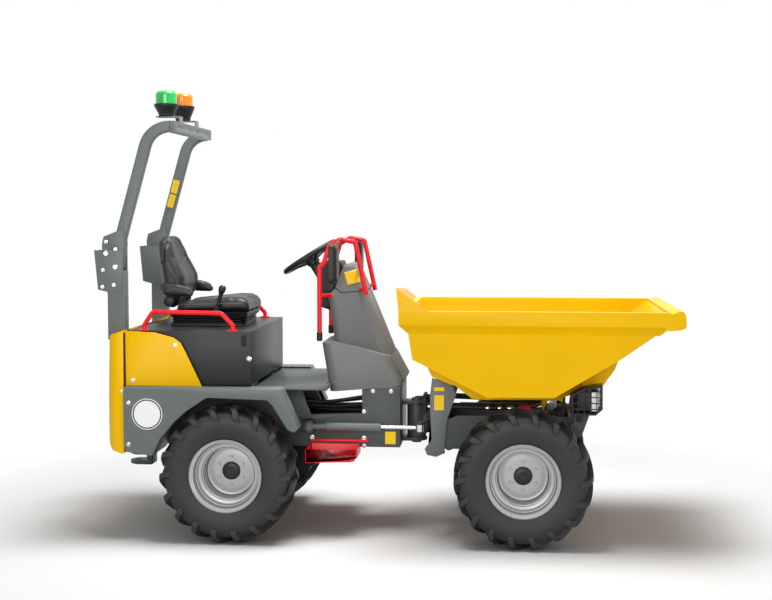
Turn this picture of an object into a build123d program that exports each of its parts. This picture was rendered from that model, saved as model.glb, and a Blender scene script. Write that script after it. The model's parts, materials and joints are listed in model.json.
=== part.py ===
"""Articulated site dumper: rear frame with seat and console, yoke, front frame and tipping skip.

Millimetres. +X forward (towards the skip), +Y to the machine's left, +Z up.
The origin is on the ground at the middle of the overall length and width.
Outlines are (x, z) pairs: x from the axle or pivot named with each table, z from the ground.
"""
import os
from math import atan2, cos, degrees, radians, sin, sqrt, tan

from build123d import *

os.makedirs("parts", exist_ok=True)

# ---------------------------------------------------------------- driving dimensions
WHEELBASE = 1680.0
RA = -888.0  # rear axle x, from the middle of the overall length
FA = RA + WHEELBASE  # front axle x

TYRE_DIAMETER = 785.0  # out to the lugs' tips
TYRE_WIDTH = 265.0
TRACK = 1070.0  # between the wheels' middle planes
RIM_DIAMETER = 417.0  # over the flanges
RIM_WIDTH = 256.0
RIM_SHEET = 7.0
HUB_BORE = 45.08  # radius of the disc's centre hole
RUNNING_GAP = 0.08  # radial clearance of every pin or spindle in its bore
SPINDLE_RADIUS = HUB_BORE - RUNNING_GAP
AXLE_Z = TYRE_DIAMETER / 2
DISC_INSET = 55.0  # disc face inboard of the wheel's middle plane
DISC_THICKNESS = 10.0
HUB_CAP = 53.0  # radius
WHEEL_Y = TRACK / 2

PLATE = 15.0  # frame plate thickness
FRAME_HALF = 240.0  # rear frame's outer face
FRAME_TOP = 850.0  # top of the rear frame's front tower
FRONT_FRAME_HALF = 300.0  # front frame's outer face
JOINT_GAP = 1.0  # between faces that turn on each other

ARTIC_X = FA - 640.0  # vertical steering pin
FRAME_FRONT = ARTIC_X - 80.0  # front end of the rear frame
CONSOLE_X = FRAME_FRONT - 960.0  # datum of the console, floor and steps
ARTIC_PIN = 30.0
OSC_Z = 630.0  # height of the oscillation tube
OSC_TUBE = 60.0
STEER_Y = -310.0
STEER_EYE = (ARTIC_X + 42.0, STEER_Y, OSC_Z)  # steering cylinder's rod pin
STEER_BASE = (STEER_EYE[0] - 657.0, STEER_Y, OSC_Z)  # and its base pin
STEER_PIN = 12.0
EYE_HALF = 20.0
EAR_THICKNESS = 15.0
EAR_HEIGHTS = (OSC_Z - EYE_HALF - 0.3 - EAR_THICKNESS, OSC_Z + EYE_HALF + 0.3)

FLOOR_TOP = 876.0
FLOOR_HALF = 500.0
FLOOR_PLATE = 10.0

HOOD_HALF = 600.0
HOOD_SHELL = 12.0
HOOD_CORNER = 70.0  # radius of its rear corners, seen from above
HOOD_NOTCH = 1150.0  # the posts leave the hood above this height
PANEL_HALF = 560.0
PANEL_SHEET = 8.0
FENDER_HALF = 620.0
FENDER_SHEET = 10.0
FENDER_TOP = 889.0

BOX_HALF = 530.0
BOX_SHELL = 8.0
BOX_TOP = 1205.0
BOX_BASE = 897.0
BOX_REAR = RA - 580.0
BOX_FRONT = RA + 128.0

CONSOLE_SHELL = 8.0
CONSOLE_HALF = 200.0
SKIRT_HALF = 260.0

SKIP_RIM_HALF = 640.0
SKIP_WALL_HALF = SKIP_RIM_HALF - 40.0  # the rim is folded out from the wall
SKIP_SHEET = 6.0
SKIP_TOP = 1336.0
BELLY_HALF = 350.0
TIP_PIVOT = (FA + 370.0, 830.0)
TIP_LUG_Y = 365.0
TIP_BASE = (FA - 430.0, 0, 520.0)  # tipping cylinder's base pin
TIP_EYE = (FA + 160.0, 0, 740.0)  # and its rod's pin, under the skip
TIP_EYE_HALF = 30.0
TIP_BASE_PIN = 25.0
TIP_ROD_PIN = 15.0
TIP_LUG_IN = 36.0  # the skip's pair of slotted lugs at the rod's pin
TIP_LUG_OUT = 50.0

POST_Y = 470.0
POST_WIDTH = 80.0
POST_TOP = 1550.0
ROLL_PIN = 12.0
POST_FOOT = 850.0  # top of the cross beam that carries the posts
ROLL_PIVOT = (RA - 714.0, 1648.0)


def side_plane(x, y):
    """Drawing plane seen from the machine's right: local x is +X, local y is +Z."""
    return Plane(origin=(x, y, 0), x_dir=(1, 0, 0), z_dir=(0, -1, 0))


def side_plate(points, x, y_low, y_high):
    """A solid cut to a side outline, between two widths."""
    with BuildPart() as plate:
        with BuildSketch(side_plane(x, y_high)):
            with BuildLine():
                Polyline(*points, close=True)
            make_face()
        extrude(amount=y_high - y_low)
    return plate.part


def both_sides(points, x, y_in, y_out):
    """The same plate on the left and on the right."""
    return side_plate(points, x, y_in, y_out), side_plate(points, x, -y_out, -y_in)


def block(x_low, x_high, y_low, y_high, z_low, z_high):
    """A plain block between limits."""
    with BuildPart() as solid:
        with Locations(((x_low + x_high) / 2, (y_low + y_high) / 2, (z_low + z_high) / 2)):
            Box(x_high - x_low, y_high - y_low, z_high - z_low)
    return solid.part


def rod_between(start, end, radius):
    """A round bar from one point to another."""
    axis = Vector(*end) - Vector(*start)
    with BuildPart() as bar:
        with BuildSketch(Plane(origin=start, z_dir=axis)):
            Circle(radius)
        extrude(amount=axis.length)
    return bar.part


def cross_bar(x, z, radius, y_low, y_high):
    """A round bar across the machine."""
    return rod_between((x, y_low, z), (x, y_high, z), radius)


def rounded_stack(rows, x, grow=0.0):
    """A ruled solid through level rounded rectangles, grown or shrunk sideways by one amount.

    Each row is (z, rear x, front x, half width, corner radius).
    """
    with BuildPart() as solid:
        for z, rear, front, half, radius in rows:
            with BuildSketch(Plane.XY.offset(z)):
                with Locations((x + (rear + front) / 2, 0)):
                    RectangleRounded(front - rear + 2 * grow, 2 * (half + grow), radius + grow)
        loft(ruled=True)
    return solid.part


def finish(part, name):
    """Label a finished piece and write it to its own file."""
    part.label = name
    export_step(part, f"parts/{name}.step")


# ---------------------------------------------------------------- wheels
BEAD = RIM_DIAMETER / 2 - 14.0
TREAD = TYRE_DIAMETER / 2
HALF_WIDTH = TYRE_WIDTH / 2
LUGS = 18  # on each side, the two sides half a step apart
LUG_WIDTH = 32.0
LUG_SKEW = radians(36.0)  # from the axle's direction, the outer end ahead
LUG_END = 106.0  # a lug's outer end, from the middle plane
# one half of the flat-sided carcass: (distance of a flat from the axle, offset from the middle plane)
CARCASS = [(TREAD - 36, 82.0), (TREAD - 74, HALF_WIDTH), (BEAD, 111.0)]


def carcass():
    """A tyre without its lugs, about the y axis: a ring of plane faces, two to each lug of a side."""
    step = 180 / LUGS
    section = CARCASS + [(flat, -offset_y) for flat, offset_y in reversed(CARCASS)]

    def corner(ring, k):
        flat, offset_y = ring
        reach = flat / cos(radians(step / 2))
        turn = radians(step * (k + 0.5))
        return (reach * sin(turn), offset_y, reach * cos(turn))

    faces = []
    for ring, following in zip(section, section[1:] + section[:1]):
        for k in range(2 * LUGS):
            corners = [corner(ring, k), corner(ring, k + 1), corner(following, k + 1), corner(following, k)]
            faces.append(Face(Wire.make_polygon(corners)))
    return Solid(Shell(faces))


def make_tyre():
    """A tyre about the y axis, for the left side: the carcass with two rows of slanted lugs."""
    run = LUG_END / 2 * tan(LUG_SKEW) + LUG_WIDTH / 2 * cos(LUG_SKEW)
    lug_top = sqrt(TREAD**2 - run**2)  # the lug's flat top ends at the tyre's diameter
    lug_section = [
        (2, TREAD - 50), (2, lug_top), (LUG_END, lug_top), (LUG_END + 12, TREAD - 75), (90, TREAD - 75),
    ]
    along = Vector(sin(LUG_SKEW), cos(LUG_SKEW), 0)
    across = Vector(-cos(LUG_SKEW), sin(LUG_SKEW), 0)
    start = Vector(0, LUG_END / 2, 0) - across * (LUG_WIDTH / 2)
    with BuildPart() as lug:
        with BuildSketch(Plane(origin=tuple(start), x_dir=tuple(along), z_dir=tuple(across))):
            with BuildLine():
                Polyline(*[((w - LUG_END / 2) / cos(LUG_SKEW), -r) for w, r in lug_section], close=True)
            make_face()
        extrude(amount=LUG_WIDTH)
    left_row = [lug.part.rotate(Axis.Y, 360 / LUGS * k) for k in range(LUGS)]
    right_row = [left.mirror(Plane.XZ).rotate(Axis.Y, 180 / LUGS) for left in left_row]
    with BuildPart() as tyre:
        add(carcass())
        add(left_row + right_row)
    return tyre.part.rotate(Axis.Y, 180 - degrees(atan2(run, lug_top)))  # a lug's corner points down


# rim section: (radius, offset), from the outer flange through the well to the inner flange
RIM_SEAT = BEAD - 0.3
RIM_WELL = RIM_SEAT - 24.0
RIM_SECTION = [
    (RIM_DIAMETER / 2, RIM_WIDTH / 2), (RIM_DIAMETER / 2, RIM_WIDTH / 2 - 9), (RIM_SEAT, 111.0),
    (RIM_SEAT, 66.0), (RIM_WELL, 44.0), (RIM_WELL, -74.0), (RIM_SEAT, -92.0), (RIM_SEAT, -111.0),
    (RIM_DIAMETER / 2, 9 - RIM_WIDTH / 2), (RIM_DIAMETER / 2, -RIM_WIDTH / 2),
]


def wheel_plane(x, side):
    """Section plane of a wheel: local x is the radius, local y is outwards along the axle."""
    return Plane(origin=(x, side * WHEEL_Y, AXLE_Z), x_dir=(1, 0, 0), z_dir=(0, 0, side))


def wheel_axis(x, side):
    return Axis((x, side * WHEEL_Y, AXLE_Z), (0, side, 0))


left_tyre = make_tyre()
CORNERS = [("rear_left", RA, 1), ("rear_right", RA, -1), ("front_left", FA, 1), ("front_right", FA, -1)]
for corner, wheel_x, side in CORNERS:
    tyre = left_tyre if side > 0 else left_tyre.mirror(Plane.XZ)
    finish(tyre.moved(Location((wheel_x, side * WHEEL_Y, AXLE_Z))), f"tyre_{corner}")

    with BuildPart() as rim:
        with BuildSketch(wheel_plane(wheel_x, side)):
            with BuildLine():
                inner = [(r - RIM_SHEET, w) for r, w in reversed(RIM_SECTION)]
                Polyline(*(RIM_SECTION + inner), close=True)
            make_face()
            disc_y = -DISC_INSET - DISC_THICKNESS / 2
            disc_radius = RIM_WELL - RIM_SHEET / 2
            with Locations(((HUB_BORE + disc_radius) / 2, disc_y)):
                Rectangle(disc_radius - HUB_BORE, DISC_THICKNESS)
        revolve(axis=wheel_axis(wheel_x, side))
        hub_face = Plane(
            origin=(wheel_x, side * (WHEEL_Y - DISC_INSET), AXLE_Z), x_dir=(1, 0, 0), z_dir=(0, side, 0)
        )
        with BuildSketch(hub_face):
            Circle(HUB_CAP)
        extrude(amount=18)
    finish(rim.part, f"rim_{corner}")

# ---------------------------------------------------------------- rear frame
TOWER_REAR = FRAME_FRONT - 226.0  # the tower carries the console's skirt
# outline of a side plate, x from the rear axle
REAR_SIDE = [
    (-600, 500), (FRAME_FRONT - RA, 500), (FRAME_FRONT - RA, FRAME_TOP), (TOWER_REAR - RA, FRAME_TOP),
    (TOWER_REAR - RA, 700), (430, 690),
    (370, 840), (110, 840), (110, 879), (-600, 879),
]
LUG_HEIGHTS = (520.0, 740.0)  # lower and upper steering lugs, middle
LUG_THICKNESS = 20.0
LUG_RADIUS = 65.0
YOKE_LOW = LUG_HEIGHTS[0] + LUG_THICKNESS / 2 + JOINT_GAP
YOKE_HIGH = LUG_HEIGHTS[1] - LUG_THICKNESS / 2 - JOINT_GAP

with BuildPart() as rear_chassis:
    for plate in both_sides(REAR_SIDE, RA, FRAME_HALF - PLATE, FRAME_HALF):
        add(plate)
    inside = FRAME_HALF - PLATE
    add(block(FRAME_FRONT - LUG_THICKNESS, FRAME_FRONT, -inside, inside, 500, FRAME_TOP))
    add(block(RA - 600, RA - 585, -inside, inside, 500, 840))
    add(block(RA - 585, FRAME_FRONT - LUG_THICKNESS, -inside, inside, 500, 510))
    add(block(RA - 655, RA - 600, -POST_Y - 45, POST_Y + 45, 800, POST_FOOT))
    for lug_z in LUG_HEIGHTS:
        with BuildSketch(Plane.XY.offset(lug_z - LUG_THICKNESS / 2)):
            with Locations(((FRAME_FRONT - 5 + ARTIC_X) / 2, 0)):
                Rectangle(ARTIC_X - FRAME_FRONT + 5, 2 * LUG_RADIUS)
            with Locations((ARTIC_X, 0)):
                Circle(LUG_RADIUS)
        extrude(amount=LUG_THICKNESS)
    for low in EAR_HEIGHTS:
        with BuildSketch(Plane.XY.offset(low)):
            with Locations((STEER_BASE[0], (STEER_BASE[1] - FRAME_HALF) / 2)):
                Rectangle(60, -STEER_BASE[1] - FRAME_HALF)
            with Locations((STEER_BASE[0], STEER_BASE[1])):
                Circle(30)
        extrude(amount=EAR_THICKNESS)
    pin_low = (STEER_BASE[0], STEER_BASE[1], EAR_HEIGHTS[0])
    pin_high = (STEER_BASE[0], STEER_BASE[1], EAR_HEIGHTS[1] + EAR_THICKNESS)
    add(rod_between(pin_low, pin_high, STEER_PIN - RUNNING_GAP))
    for x in (-90, 60):
        for side in (-1, 1):
            y_a, y_b = sorted((side * FRAME_HALF, side * 560))
            add(block(RA + x, RA + x + 40, y_a, y_b, 849, FENDER_TOP - FENDER_SHEET))
    add(rod_between((ARTIC_X, 0, LUG_HEIGHTS[0] - 25), (ARTIC_X, 0, LUG_HEIGHTS[1] + 25), ARTIC_PIN))
finish(rear_chassis.part, "rear_chassis")


def axle(x):
    """Axle beam with its middle gear case, end flanges and wheel spindles."""
    with BuildPart() as beam:
        add(cross_bar(x, AXLE_Z, 55, -400, 400))
        with Locations((x, 0, AXLE_Z)):
            Sphere(95)
        for side in (-1, 1):
            flange_y = WHEEL_Y - DISC_INSET - DISC_THICKNESS - JOINT_GAP
            y_a, y_b = sorted((side * 400, side * flange_y))
            add(cross_bar(x, AXLE_Z, 110, y_a, y_b))
            y_a, y_b = sorted((side * flange_y, side * (WHEEL_Y - DISC_INSET - 0.5)))
            add(cross_bar(x, AXLE_Z, SPINDLE_RADIUS, y_a, y_b))
    return beam


rear_axle = axle(RA)
with BuildPart() as rear_axle_piece:
    add(rear_axle.part)
    for side in (-1, 1):
        mid = side * (FRAME_HALF - PLATE / 2)
        add(block(RA - 90, RA + 90, mid - 30, mid + 30, AXLE_Z, 500))
finish(rear_axle_piece.part, "rear_axle")

finish(block(RA - 500, RA + 60, -205, 205, 510, 880), "engine_block")

# ---------------------------------------------------------------- rear bodywork
HOOD_SIDE = [
    (-600, 504), (-611, 501), (-672, 520), (-689, 548), (-703, 600), (-703, 800), (-696, 840),
    (-681, 1175), (-670, 1187), (-600, 1211),
]
# hinge of the seat box cover, under the rear edge of its top
COVER_HINGE = (RA - 572.0, 1183.0)
COVER_PIN = 6.0
HINGE_EARS = (-300.0, 300.0)
EAR_WIDTH = 10.0
HOOD_EAR = [
    (-640, 1165), (-572, 1172), (-563, 1183), (-572, 1192), (-584, 1183), (-602, 1181),
    (-602, 1196), (-640, 1190),
]
BOX_EAR = [(-584, 1173), (-562, 1172), (-555, 1198), (-576, 1198)]
HOOD_REAR, HOOD_MOUTH = -703.0, -500.0
HOOD_LOW = 501.0
VENT_ROWS = [620.0, 655.0, 690.0, 725.0, 760.0]  # heights of the cooling slots in its rear wall
VENT_COLUMNS = [(-420, -230), (-200, -10), (10, 200), (230, 420)]
VENT_HEIGHT = 14.0


def hood_block(outline, inset):
    """The hood's side outline across its width, with rounded rear corners."""
    half = HOOD_HALF - inset
    radius = HOOD_CORNER - inset
    rear = HOOD_REAR + inset
    plan = [(z, rear, HOOD_MOUTH + radius, half, radius) for z in (HOOD_LOW - 50, BOX_TOP + 50)]
    with BuildPart() as solid:
        add(side_plate(outline, RA, -half, half))
        add(rounded_stack(plan, RA), mode=Mode.INTERSECT)
    return solid.part


with BuildPart() as rear_hood:
    add(hood_block(HOOD_SIDE, 0))
    hood_inside = [
        (-598, 512), (-664, 532), (-690, 602), (-690, 800), (-684, 840), (-669, 1170), (-598, 1197),
    ]
    add(hood_block(hood_inside, HOOD_SHELL), mode=Mode.SUBTRACT)
    for z in VENT_ROWS:
        for y_low, y_high in VENT_COLUMNS:
            add(block(RA + HOOD_REAR - 5, RA - 660, y_low, y_high, z, z + VENT_HEIGHT), mode=Mode.SUBTRACT)
    for side in (-1, 1):
        mid = side * POST_Y
        notch = POST_WIDTH / 2 + 2
        add(block(RA - 720, RA - 590, mid - notch, mid + notch, HOOD_NOTCH, 1250), mode=Mode.SUBTRACT)
    for y in HINGE_EARS:
        add(side_plate(HOOD_EAR, RA, y, y + EAR_WIDTH))
        add(cross_bar(*COVER_HINGE, COVER_PIN, y - EAR_WIDTH - 2, y + EAR_WIDTH))
finish(rear_hood.part, "rear_hood")

PANEL_SIDE = [
    (-598, 889), (-598, 1205), (-420, 1197), (-314, 1169), (-275, 1141), (-247, 1089), (-151, 889),
]
with BuildPart() as side_panels:
    for plate in both_sides(PANEL_SIDE, RA, PANEL_HALF - PANEL_SHEET, PANEL_HALF):
        add(plate)
finish(side_panels.part, "side_panels")

FENDER_SIDE = [
    (-597, FENDER_TOP), (315, FENDER_TOP), (415, 665), (391, 641), (353, 655), (268, 790), (236, 823),
    (-112, 833),
    (-230, 755), (-297, 697), (-386, 590), (-431, 494), (-585, 516), (-597, 560),
]
FENDER_INNER = 300.0
FENDER_EDGE = 7.0  # chamfer along its outer top edge
with BuildPart() as rear_fenders:
    for side in (-1, 1):
        y_a, y_b = sorted((side * FENDER_INNER, side * FENDER_HALF))
        add(side_plate(FENDER_SIDE, RA, y_a, y_b))
        outer_edges = edges().filter_by(Axis.X).group_by(Axis.Z)[-1].sort_by(Axis.Y)
        chamfer(outer_edges[-1] if side > 0 else outer_edges[0], length=FENDER_EDGE)
        y_b = side * (FENDER_HALF - FENDER_SHEET)
        y_a, y_b = sorted((side * (FENDER_INNER - 1), y_b))
        with BuildSketch(side_plane(RA, y_b)):
            with BuildLine():
                Polyline(*FENDER_SIDE, close=True)
            make_face()
            offset(amount=-FENDER_SHEET, kind=Kind.INTERSECTION)
        extrude(amount=y_b - y_a, mode=Mode.SUBTRACT)
        y_a, y_b = sorted((side * (FENDER_INNER - 1), side * (FLOOR_HALF + 1)))
        add(block(BOX_FRONT - 6, RA + 600, y_a, y_b, 600, 900), mode=Mode.SUBTRACT)
finish(rear_fenders.part, "rear_fenders")

with BuildPart() as floor_plate:
    floor_low = FLOOR_TOP - FLOOR_PLATE
    add(block(BOX_FRONT, CONSOLE_X + 560, -FLOOR_HALF, FLOOR_HALF, floor_low, FLOOR_TOP))
    notch = SKIRT_HALF + 1
    add(block(CONSOLE_X + 528, CONSOLE_X + 600, -notch, notch, 800, 900), mode=Mode.SUBTRACT)
    for side in (-1, 1):
        y_a, y_b = sorted((side * (FRAME_HALF - PLATE), side * FRAME_HALF))
        add(block(RA + 128, RA + 370, y_a, y_b, 840, floor_low))
finish(floor_plate.part, "floor_plate")

# ---------------------------------------------------------------- console
# rows of the skirt's and the console's shapes: (z, rear x, front x, half width, corner radius)
SKIRT_ROWS = [
    (820, 542, 979, SKIRT_HALF, 60), (902, 529, 979, SKIRT_HALF, 60), (1039, 506, 905, SKIRT_HALF, 60),
    (1135, 490, 853, SKIRT_HALF, 60),
]
CONSOLE_ROWS = [
    (1030, 575, 909, CONSOLE_HALF, 60), (1281, 537, 807, CONSOLE_HALF, 60), (1388, 522, 763, CONSOLE_HALF, 60),
    (1430, 559, 746, CONSOLE_HALF - 4, 60), (1562, 612, 684, CONSOLE_HALF - 12, 32),
    (1578, 628, 672, CONSOLE_HALF - 22, 20),
]
# the sloping seam where the console stands on the skirt, and the skirt's lower edge
SEAM = [(480, 1113), (561, 1124), (726, 1089), (905, 1039), (1000, 1012)]
SKIRT_FOOT = [(500, 824), (541, 828), (957, 865), (1000, 913)]
above_seam = SEAM + [(1000, 1200), (480, 1200)]
below_seam = SEAM + [(1000, 990), (480, 990)]
with BuildPart() as console_skirt:
    add(rounded_stack(SKIRT_ROWS, CONSOLE_X))
    add(side_plate(above_seam, CONSOLE_X, -SKIRT_HALF - 1, SKIRT_HALF + 1), mode=Mode.SUBTRACT)
    with BuildPart(mode=Mode.PRIVATE) as skirt_inside:
        add(rounded_stack(SKIRT_ROWS, CONSOLE_X, -CONSOLE_SHELL))
        roof = [(x, z - CONSOLE_SHELL) for x, z in above_seam]
        add(side_plate(roof, CONSOLE_X, -SKIRT_HALF, SKIRT_HALF), mode=Mode.SUBTRACT)
    add(skirt_inside.part, mode=Mode.SUBTRACT)
    add(side_plate(SKIRT_FOOT + [(1000, 800), (500, 800)], CONSOLE_X, -SKIRT_HALF - 1, SKIRT_HALF + 1),
        mode=Mode.SUBTRACT)
    inside = SKIRT_HALF - CONSOLE_SHELL
    add(block(CONSOLE_X + 740, CONSOLE_X + 958, -inside, inside, FRAME_TOP, FRAME_TOP + CONSOLE_SHELL))
finish(console_skirt.part, "console_skirt")
with BuildPart() as console:
    add(rounded_stack(CONSOLE_ROWS, CONSOLE_X))
    add(side_plate(below_seam, CONSOLE_X, -CONSOLE_HALF - 1, CONSOLE_HALF + 1), mode=Mode.SUBTRACT)
finish(console.part, "console")

# ---------------------------------------------------------------- steering wheel and column
STEERING_HUB = (CONSOLE_X + 415, 0, 1577)
COLUMN_TILT = 32.0
COLUMN_AXIS = (-sin(radians(COLUMN_TILT)), 0, cos(radians(COLUMN_TILT)))


def along_column(distance):
    """A point on the column's axis, up from the wheel's hub."""
    return tuple(h + distance * a for h, a in zip(STEERING_HUB, COLUMN_AXIS))


COWL_SIDE = [
    (425, 1556), (470, 1420), (464, 1320), (525, 1300), (560, 1440), (605, 1562), (590, 1592), (478, 1592),
]
COWL_HALF = 110.0
with BuildPart() as cowl:
    add(side_plate(COWL_SIDE, CONSOLE_X, -COWL_HALF, COWL_HALF))
    cheeks = cowl.faces().sort_by(Axis.Y)
    fillet(cheeks[0].edges() + cheeks[-1].edges(), radius=14)
with BuildPart() as steering_column:
    add(cowl.part)
    add(rod_between(along_column(-260), along_column(-6), 32))
    add(rod_between(along_column(-6), along_column(14), 11))
    add(console.part, mode=Mode.SUBTRACT)
finish(steering_column.part, "steering_column")

WHEEL_RIM_RADIUS = 172.0
wheel_disc = Plane(origin=along_column(45), x_dir=(0, 1, 0), z_dir=COLUMN_AXIS)
with BuildPart() as steering_wheel:
    with BuildSketch(Plane(origin=wheel_disc.origin, x_dir=(0, 1, 0), z_dir=wheel_disc.y_dir)):
        with Locations((WHEEL_RIM_RADIUS, 0)):
            Circle(16)
    revolve(axis=Axis(wheel_disc.origin, COLUMN_AXIS))
    hub_plane = Plane(origin=along_column(-4), x_dir=(0, 1, 0), z_dir=COLUMN_AXIS)
    with BuildSketch(hub_plane):
        Circle(40)
        Circle(11.08, mode=Mode.SUBTRACT)
    extrude(amount=30)
    for turn in (90, 210, 330):
        reach = Vector(WHEEL_RIM_RADIUS - 10, 0, 0).rotate(Axis.Z, turn)
        start = hub_plane.from_local_coords(Vector(25, 0, 20).rotate(Axis.Z, turn))
        end = wheel_disc.from_local_coords(reach)
        add(rod_between(tuple(start), tuple(end), 9))
finish(steering_wheel.part, "steering_wheel")

# ---------------------------------------------------------------- handrails, mirrors, steps
RAIL_Y = 250.0
RAIL_RADIUS = 14.0
STUB_END = CONSOLE_HALF - 38.0  # the stays run this far into the console
RAIL_TOP = 1726.0
RAIL_ROUTE = [
    (484, 1128), (484, RAIL_TOP - 168), (512, RAIL_TOP - 136), (543, RAIL_TOP - 36), (607, RAIL_TOP),
    (695, RAIL_TOP - 15), (762, 1400),
]
RAIL_BENDS = [20, 30, 25, 30, 20]
with BuildPart() as handrails:
    for side in (-1, 1):
        points = [(CONSOLE_X + x, side * RAIL_Y, z) for x, z in RAIL_ROUTE]
        with BuildLine() as route:
            FilletPolyline(*points, radius=RAIL_BENDS)
        with BuildSketch(Plane(origin=points[0], z_dir=(0, 0, 1))):
            Circle(RAIL_RADIUS)
        sweep(path=route.wires()[0])
        for x, z, reach in ((484, 1395, 562), (750, 1432, 712)):
            add(rod_between((CONSOLE_X + x, side * RAIL_Y, z), (CONSOLE_X + reach, side * STUB_END, z), 11))
    add(console.part, mode=Mode.SUBTRACT)
finish(handrails.part, "handrails")

MIRROR_Y = 620.0
MIRROR_HEAD = (150.0, 218.0)  # width and height
MIRROR_MIDDLE = (CONSOLE_X + 598, RAIL_TOP - 129)  # its rear face
MIRROR_DEPTH = 44.0
with BuildPart() as mirrors:
    for side in (-1, 1):
        inner = (CONSOLE_X + 607, side * (RAIL_Y + RAIL_RADIUS + 0.3), RAIL_TOP - 4)
        outer = (CONSOLE_X + 622, side * MIRROR_Y, RAIL_TOP - 36)
        add(rod_between(inner, outer, 8))
        head_x, head_z = MIRROR_MIDDLE
        face = Plane(origin=(head_x, side * MIRROR_Y, head_z), x_dir=(0, 1, 0), z_dir=(1, 0, 0))
        with BuildPart(mode=Mode.PRIVATE) as head:
            with BuildSketch(face, face.offset(MIRROR_DEPTH * 0.6)):
                RectangleRounded(*MIRROR_HEAD, 28)
            with BuildSketch(face.offset(MIRROR_DEPTH)):
                RectangleRounded(MIRROR_HEAD[0] - 40, MIRROR_HEAD[1] - 40, 20)
            loft(ruled=True)
        add(head.part)
finish(mirrors.part, "mirrors")

STEP_REAR = RA + TREAD + 35.5  # clear of the rear tyre
STEP_OUT = 450.0
STEP_SHEET = 6.0
STEP_ROUTE = [(3, 521), (3, 440), (238, 456), (295, 470), (295, 521)]  # middle of its bent sheet
with BuildPart() as steps:
    for side in (-1, 1):
        y_a, y_b = sorted((side * FRAME_HALF, side * STEP_OUT))
        with BuildSketch(side_plane(STEP_REAR, y_b)):
            with BuildLine():
                Polyline(*STEP_ROUTE)
            trace(line_width=STEP_SHEET)
        extrude(amount=y_b - y_a)
        y_a, y_b = sorted((side * FRAME_HALF, side * (FRAME_HALF + STEP_SHEET)))
        add(side_plate(STEP_ROUTE, STEP_REAR, y_a, y_b))
finish(steps.part, "steps")

with BuildPart() as lock_bar:
    add(block(CONSOLE_X + 434, CONSOLE_X + 774, -FRAME_HALF - 30, -FRAME_HALF - 0.3, 532, 546))
finish(lock_bar.part, "lock_bar")

HITCH_JAWS = (335.0, 395.0)  # undersides of the two jaw plates
JAW_SHEET = 25.0
HITCH_HALF = 60.0
with BuildPart() as rear_hitch:
    for low in HITCH_JAWS:
        with BuildSketch(Plane.XY.offset(low)):
            with Locations((RA - 645, 0)):
                Rectangle(90, 2 * HITCH_HALF)
            with Locations((RA - 690, 0)):
                Circle(45)
            make_hull()
            with Locations((RA - 690, 0)):
                Circle(16, mode=Mode.SUBTRACT)
        extrude(amount=JAW_SHEET)
    add(block(RA - 620, RA - 586, -HITCH_HALF, HITCH_HALF, HITCH_JAWS[0], 500))
finish(rear_hitch.part, "rear_hitch")

# ---------------------------------------------------------------- roll bar
BRACKET_SIDE = [(-785, 1667), (-765, 1440), (-706, 1425), (-620, 1427), (-617, 1667)]
with BuildPart() as roll_bar_posts:
    for side in (-1, 1):
        mid = side * POST_Y
        half = POST_WIDTH / 2
        add(block(RA - 712, RA - 612, mid - half, mid + half, HOOD_NOTCH, POST_TOP))
        add(block(RA - 655, RA - 612, mid - half, mid + half, POST_FOOT, HOOD_NOTCH))
        for y_low in (mid - POST_WIDTH / 2 - 12, mid + POST_WIDTH / 2):
            add(side_plate(BRACKET_SIDE, RA, y_low, y_low + 12))
        add(cross_bar(*ROLL_PIVOT, ROLL_PIN, mid - half - 12, mid + half + 12))
finish(roll_bar_posts.part, "roll_bar_posts")

FOOT_SIDE = [
    (-735, 1560), (-625, 1560), (-612, 1700), (-618, 1790), (-668, 1770), (-732, 1745), (-742, 1700),
]
HOOP_SECTION = (50.0, 66.0)  # of a leg, across and along the machine
HOOP_ROUTE = [(-678, 1596), (-460, 2375), (-346, 2375)]  # middle of a leg
HOOP_BEND = 150.0
HOOP_BEAM = (-372.0, -320.0, 2345.0, 2408.0)  # rear, front, underside and top
BEAM_HOLES = [-360.0, -300.0, -100.0, 100.0, 300.0, 360.0]
BEACON_X = -436.0
BEACON_Y = 200.0
BEACON_SEAT = 2450.0
PLATE_HALF = 40.0  # a beacon's plate, on its bracket from the beam
with BuildPart() as roll_bar_hoop:
    for side in (-1, 1):
        points = [(RA + x, side * POST_Y, z) for x, z in HOOP_ROUTE]
        with BuildLine() as leg:
            FilletPolyline(*points, radius=HOOP_BEND)
        rise = Vector(*points[1]) - Vector(*points[0])
        with BuildSketch(Plane(origin=points[0], x_dir=(0, 1, 0), z_dir=rise)):
            RectangleRounded(*HOOP_SECTION, 10)
        sweep(path=leg.wires()[0])
        foot = POST_WIDTH / 2 - 0.3
        add(side_plate(FOOT_SIDE, RA, side * POST_Y - foot, side * POST_Y + foot))
    rear, front, low, high = HOOP_BEAM
    add(block(RA + rear, RA + front, -POST_Y, POST_Y, low, high))
    for y in BEAM_HOLES:
        add(rod_between((RA + rear - 1, y, (low + high) / 2), (RA + front + 1, y, (low + high) / 2), 9),
            mode=Mode.SUBTRACT)
    for side in (-1, 1):
        y_a, y_b = side * BEACON_Y - PLATE_HALF, side * BEACON_Y + PLATE_HALF
        add(block(RA + BEACON_X - 55, RA + rear + 26, y_a, y_b, BEACON_SEAT - 6, BEACON_SEAT))
        add(block(RA + rear + 20, RA + rear + 26, y_a, y_b, high - 1, BEACON_SEAT))
        reach = POST_WIDTH
        y_a, y_b = side * POST_Y - reach, side * POST_Y + reach
        add(cross_bar(*ROLL_PIVOT, ROLL_PIN + RUNNING_GAP, y_a, y_b), mode=Mode.SUBTRACT)
finish(roll_bar_hoop.part, "roll_bar_hoop")

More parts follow.
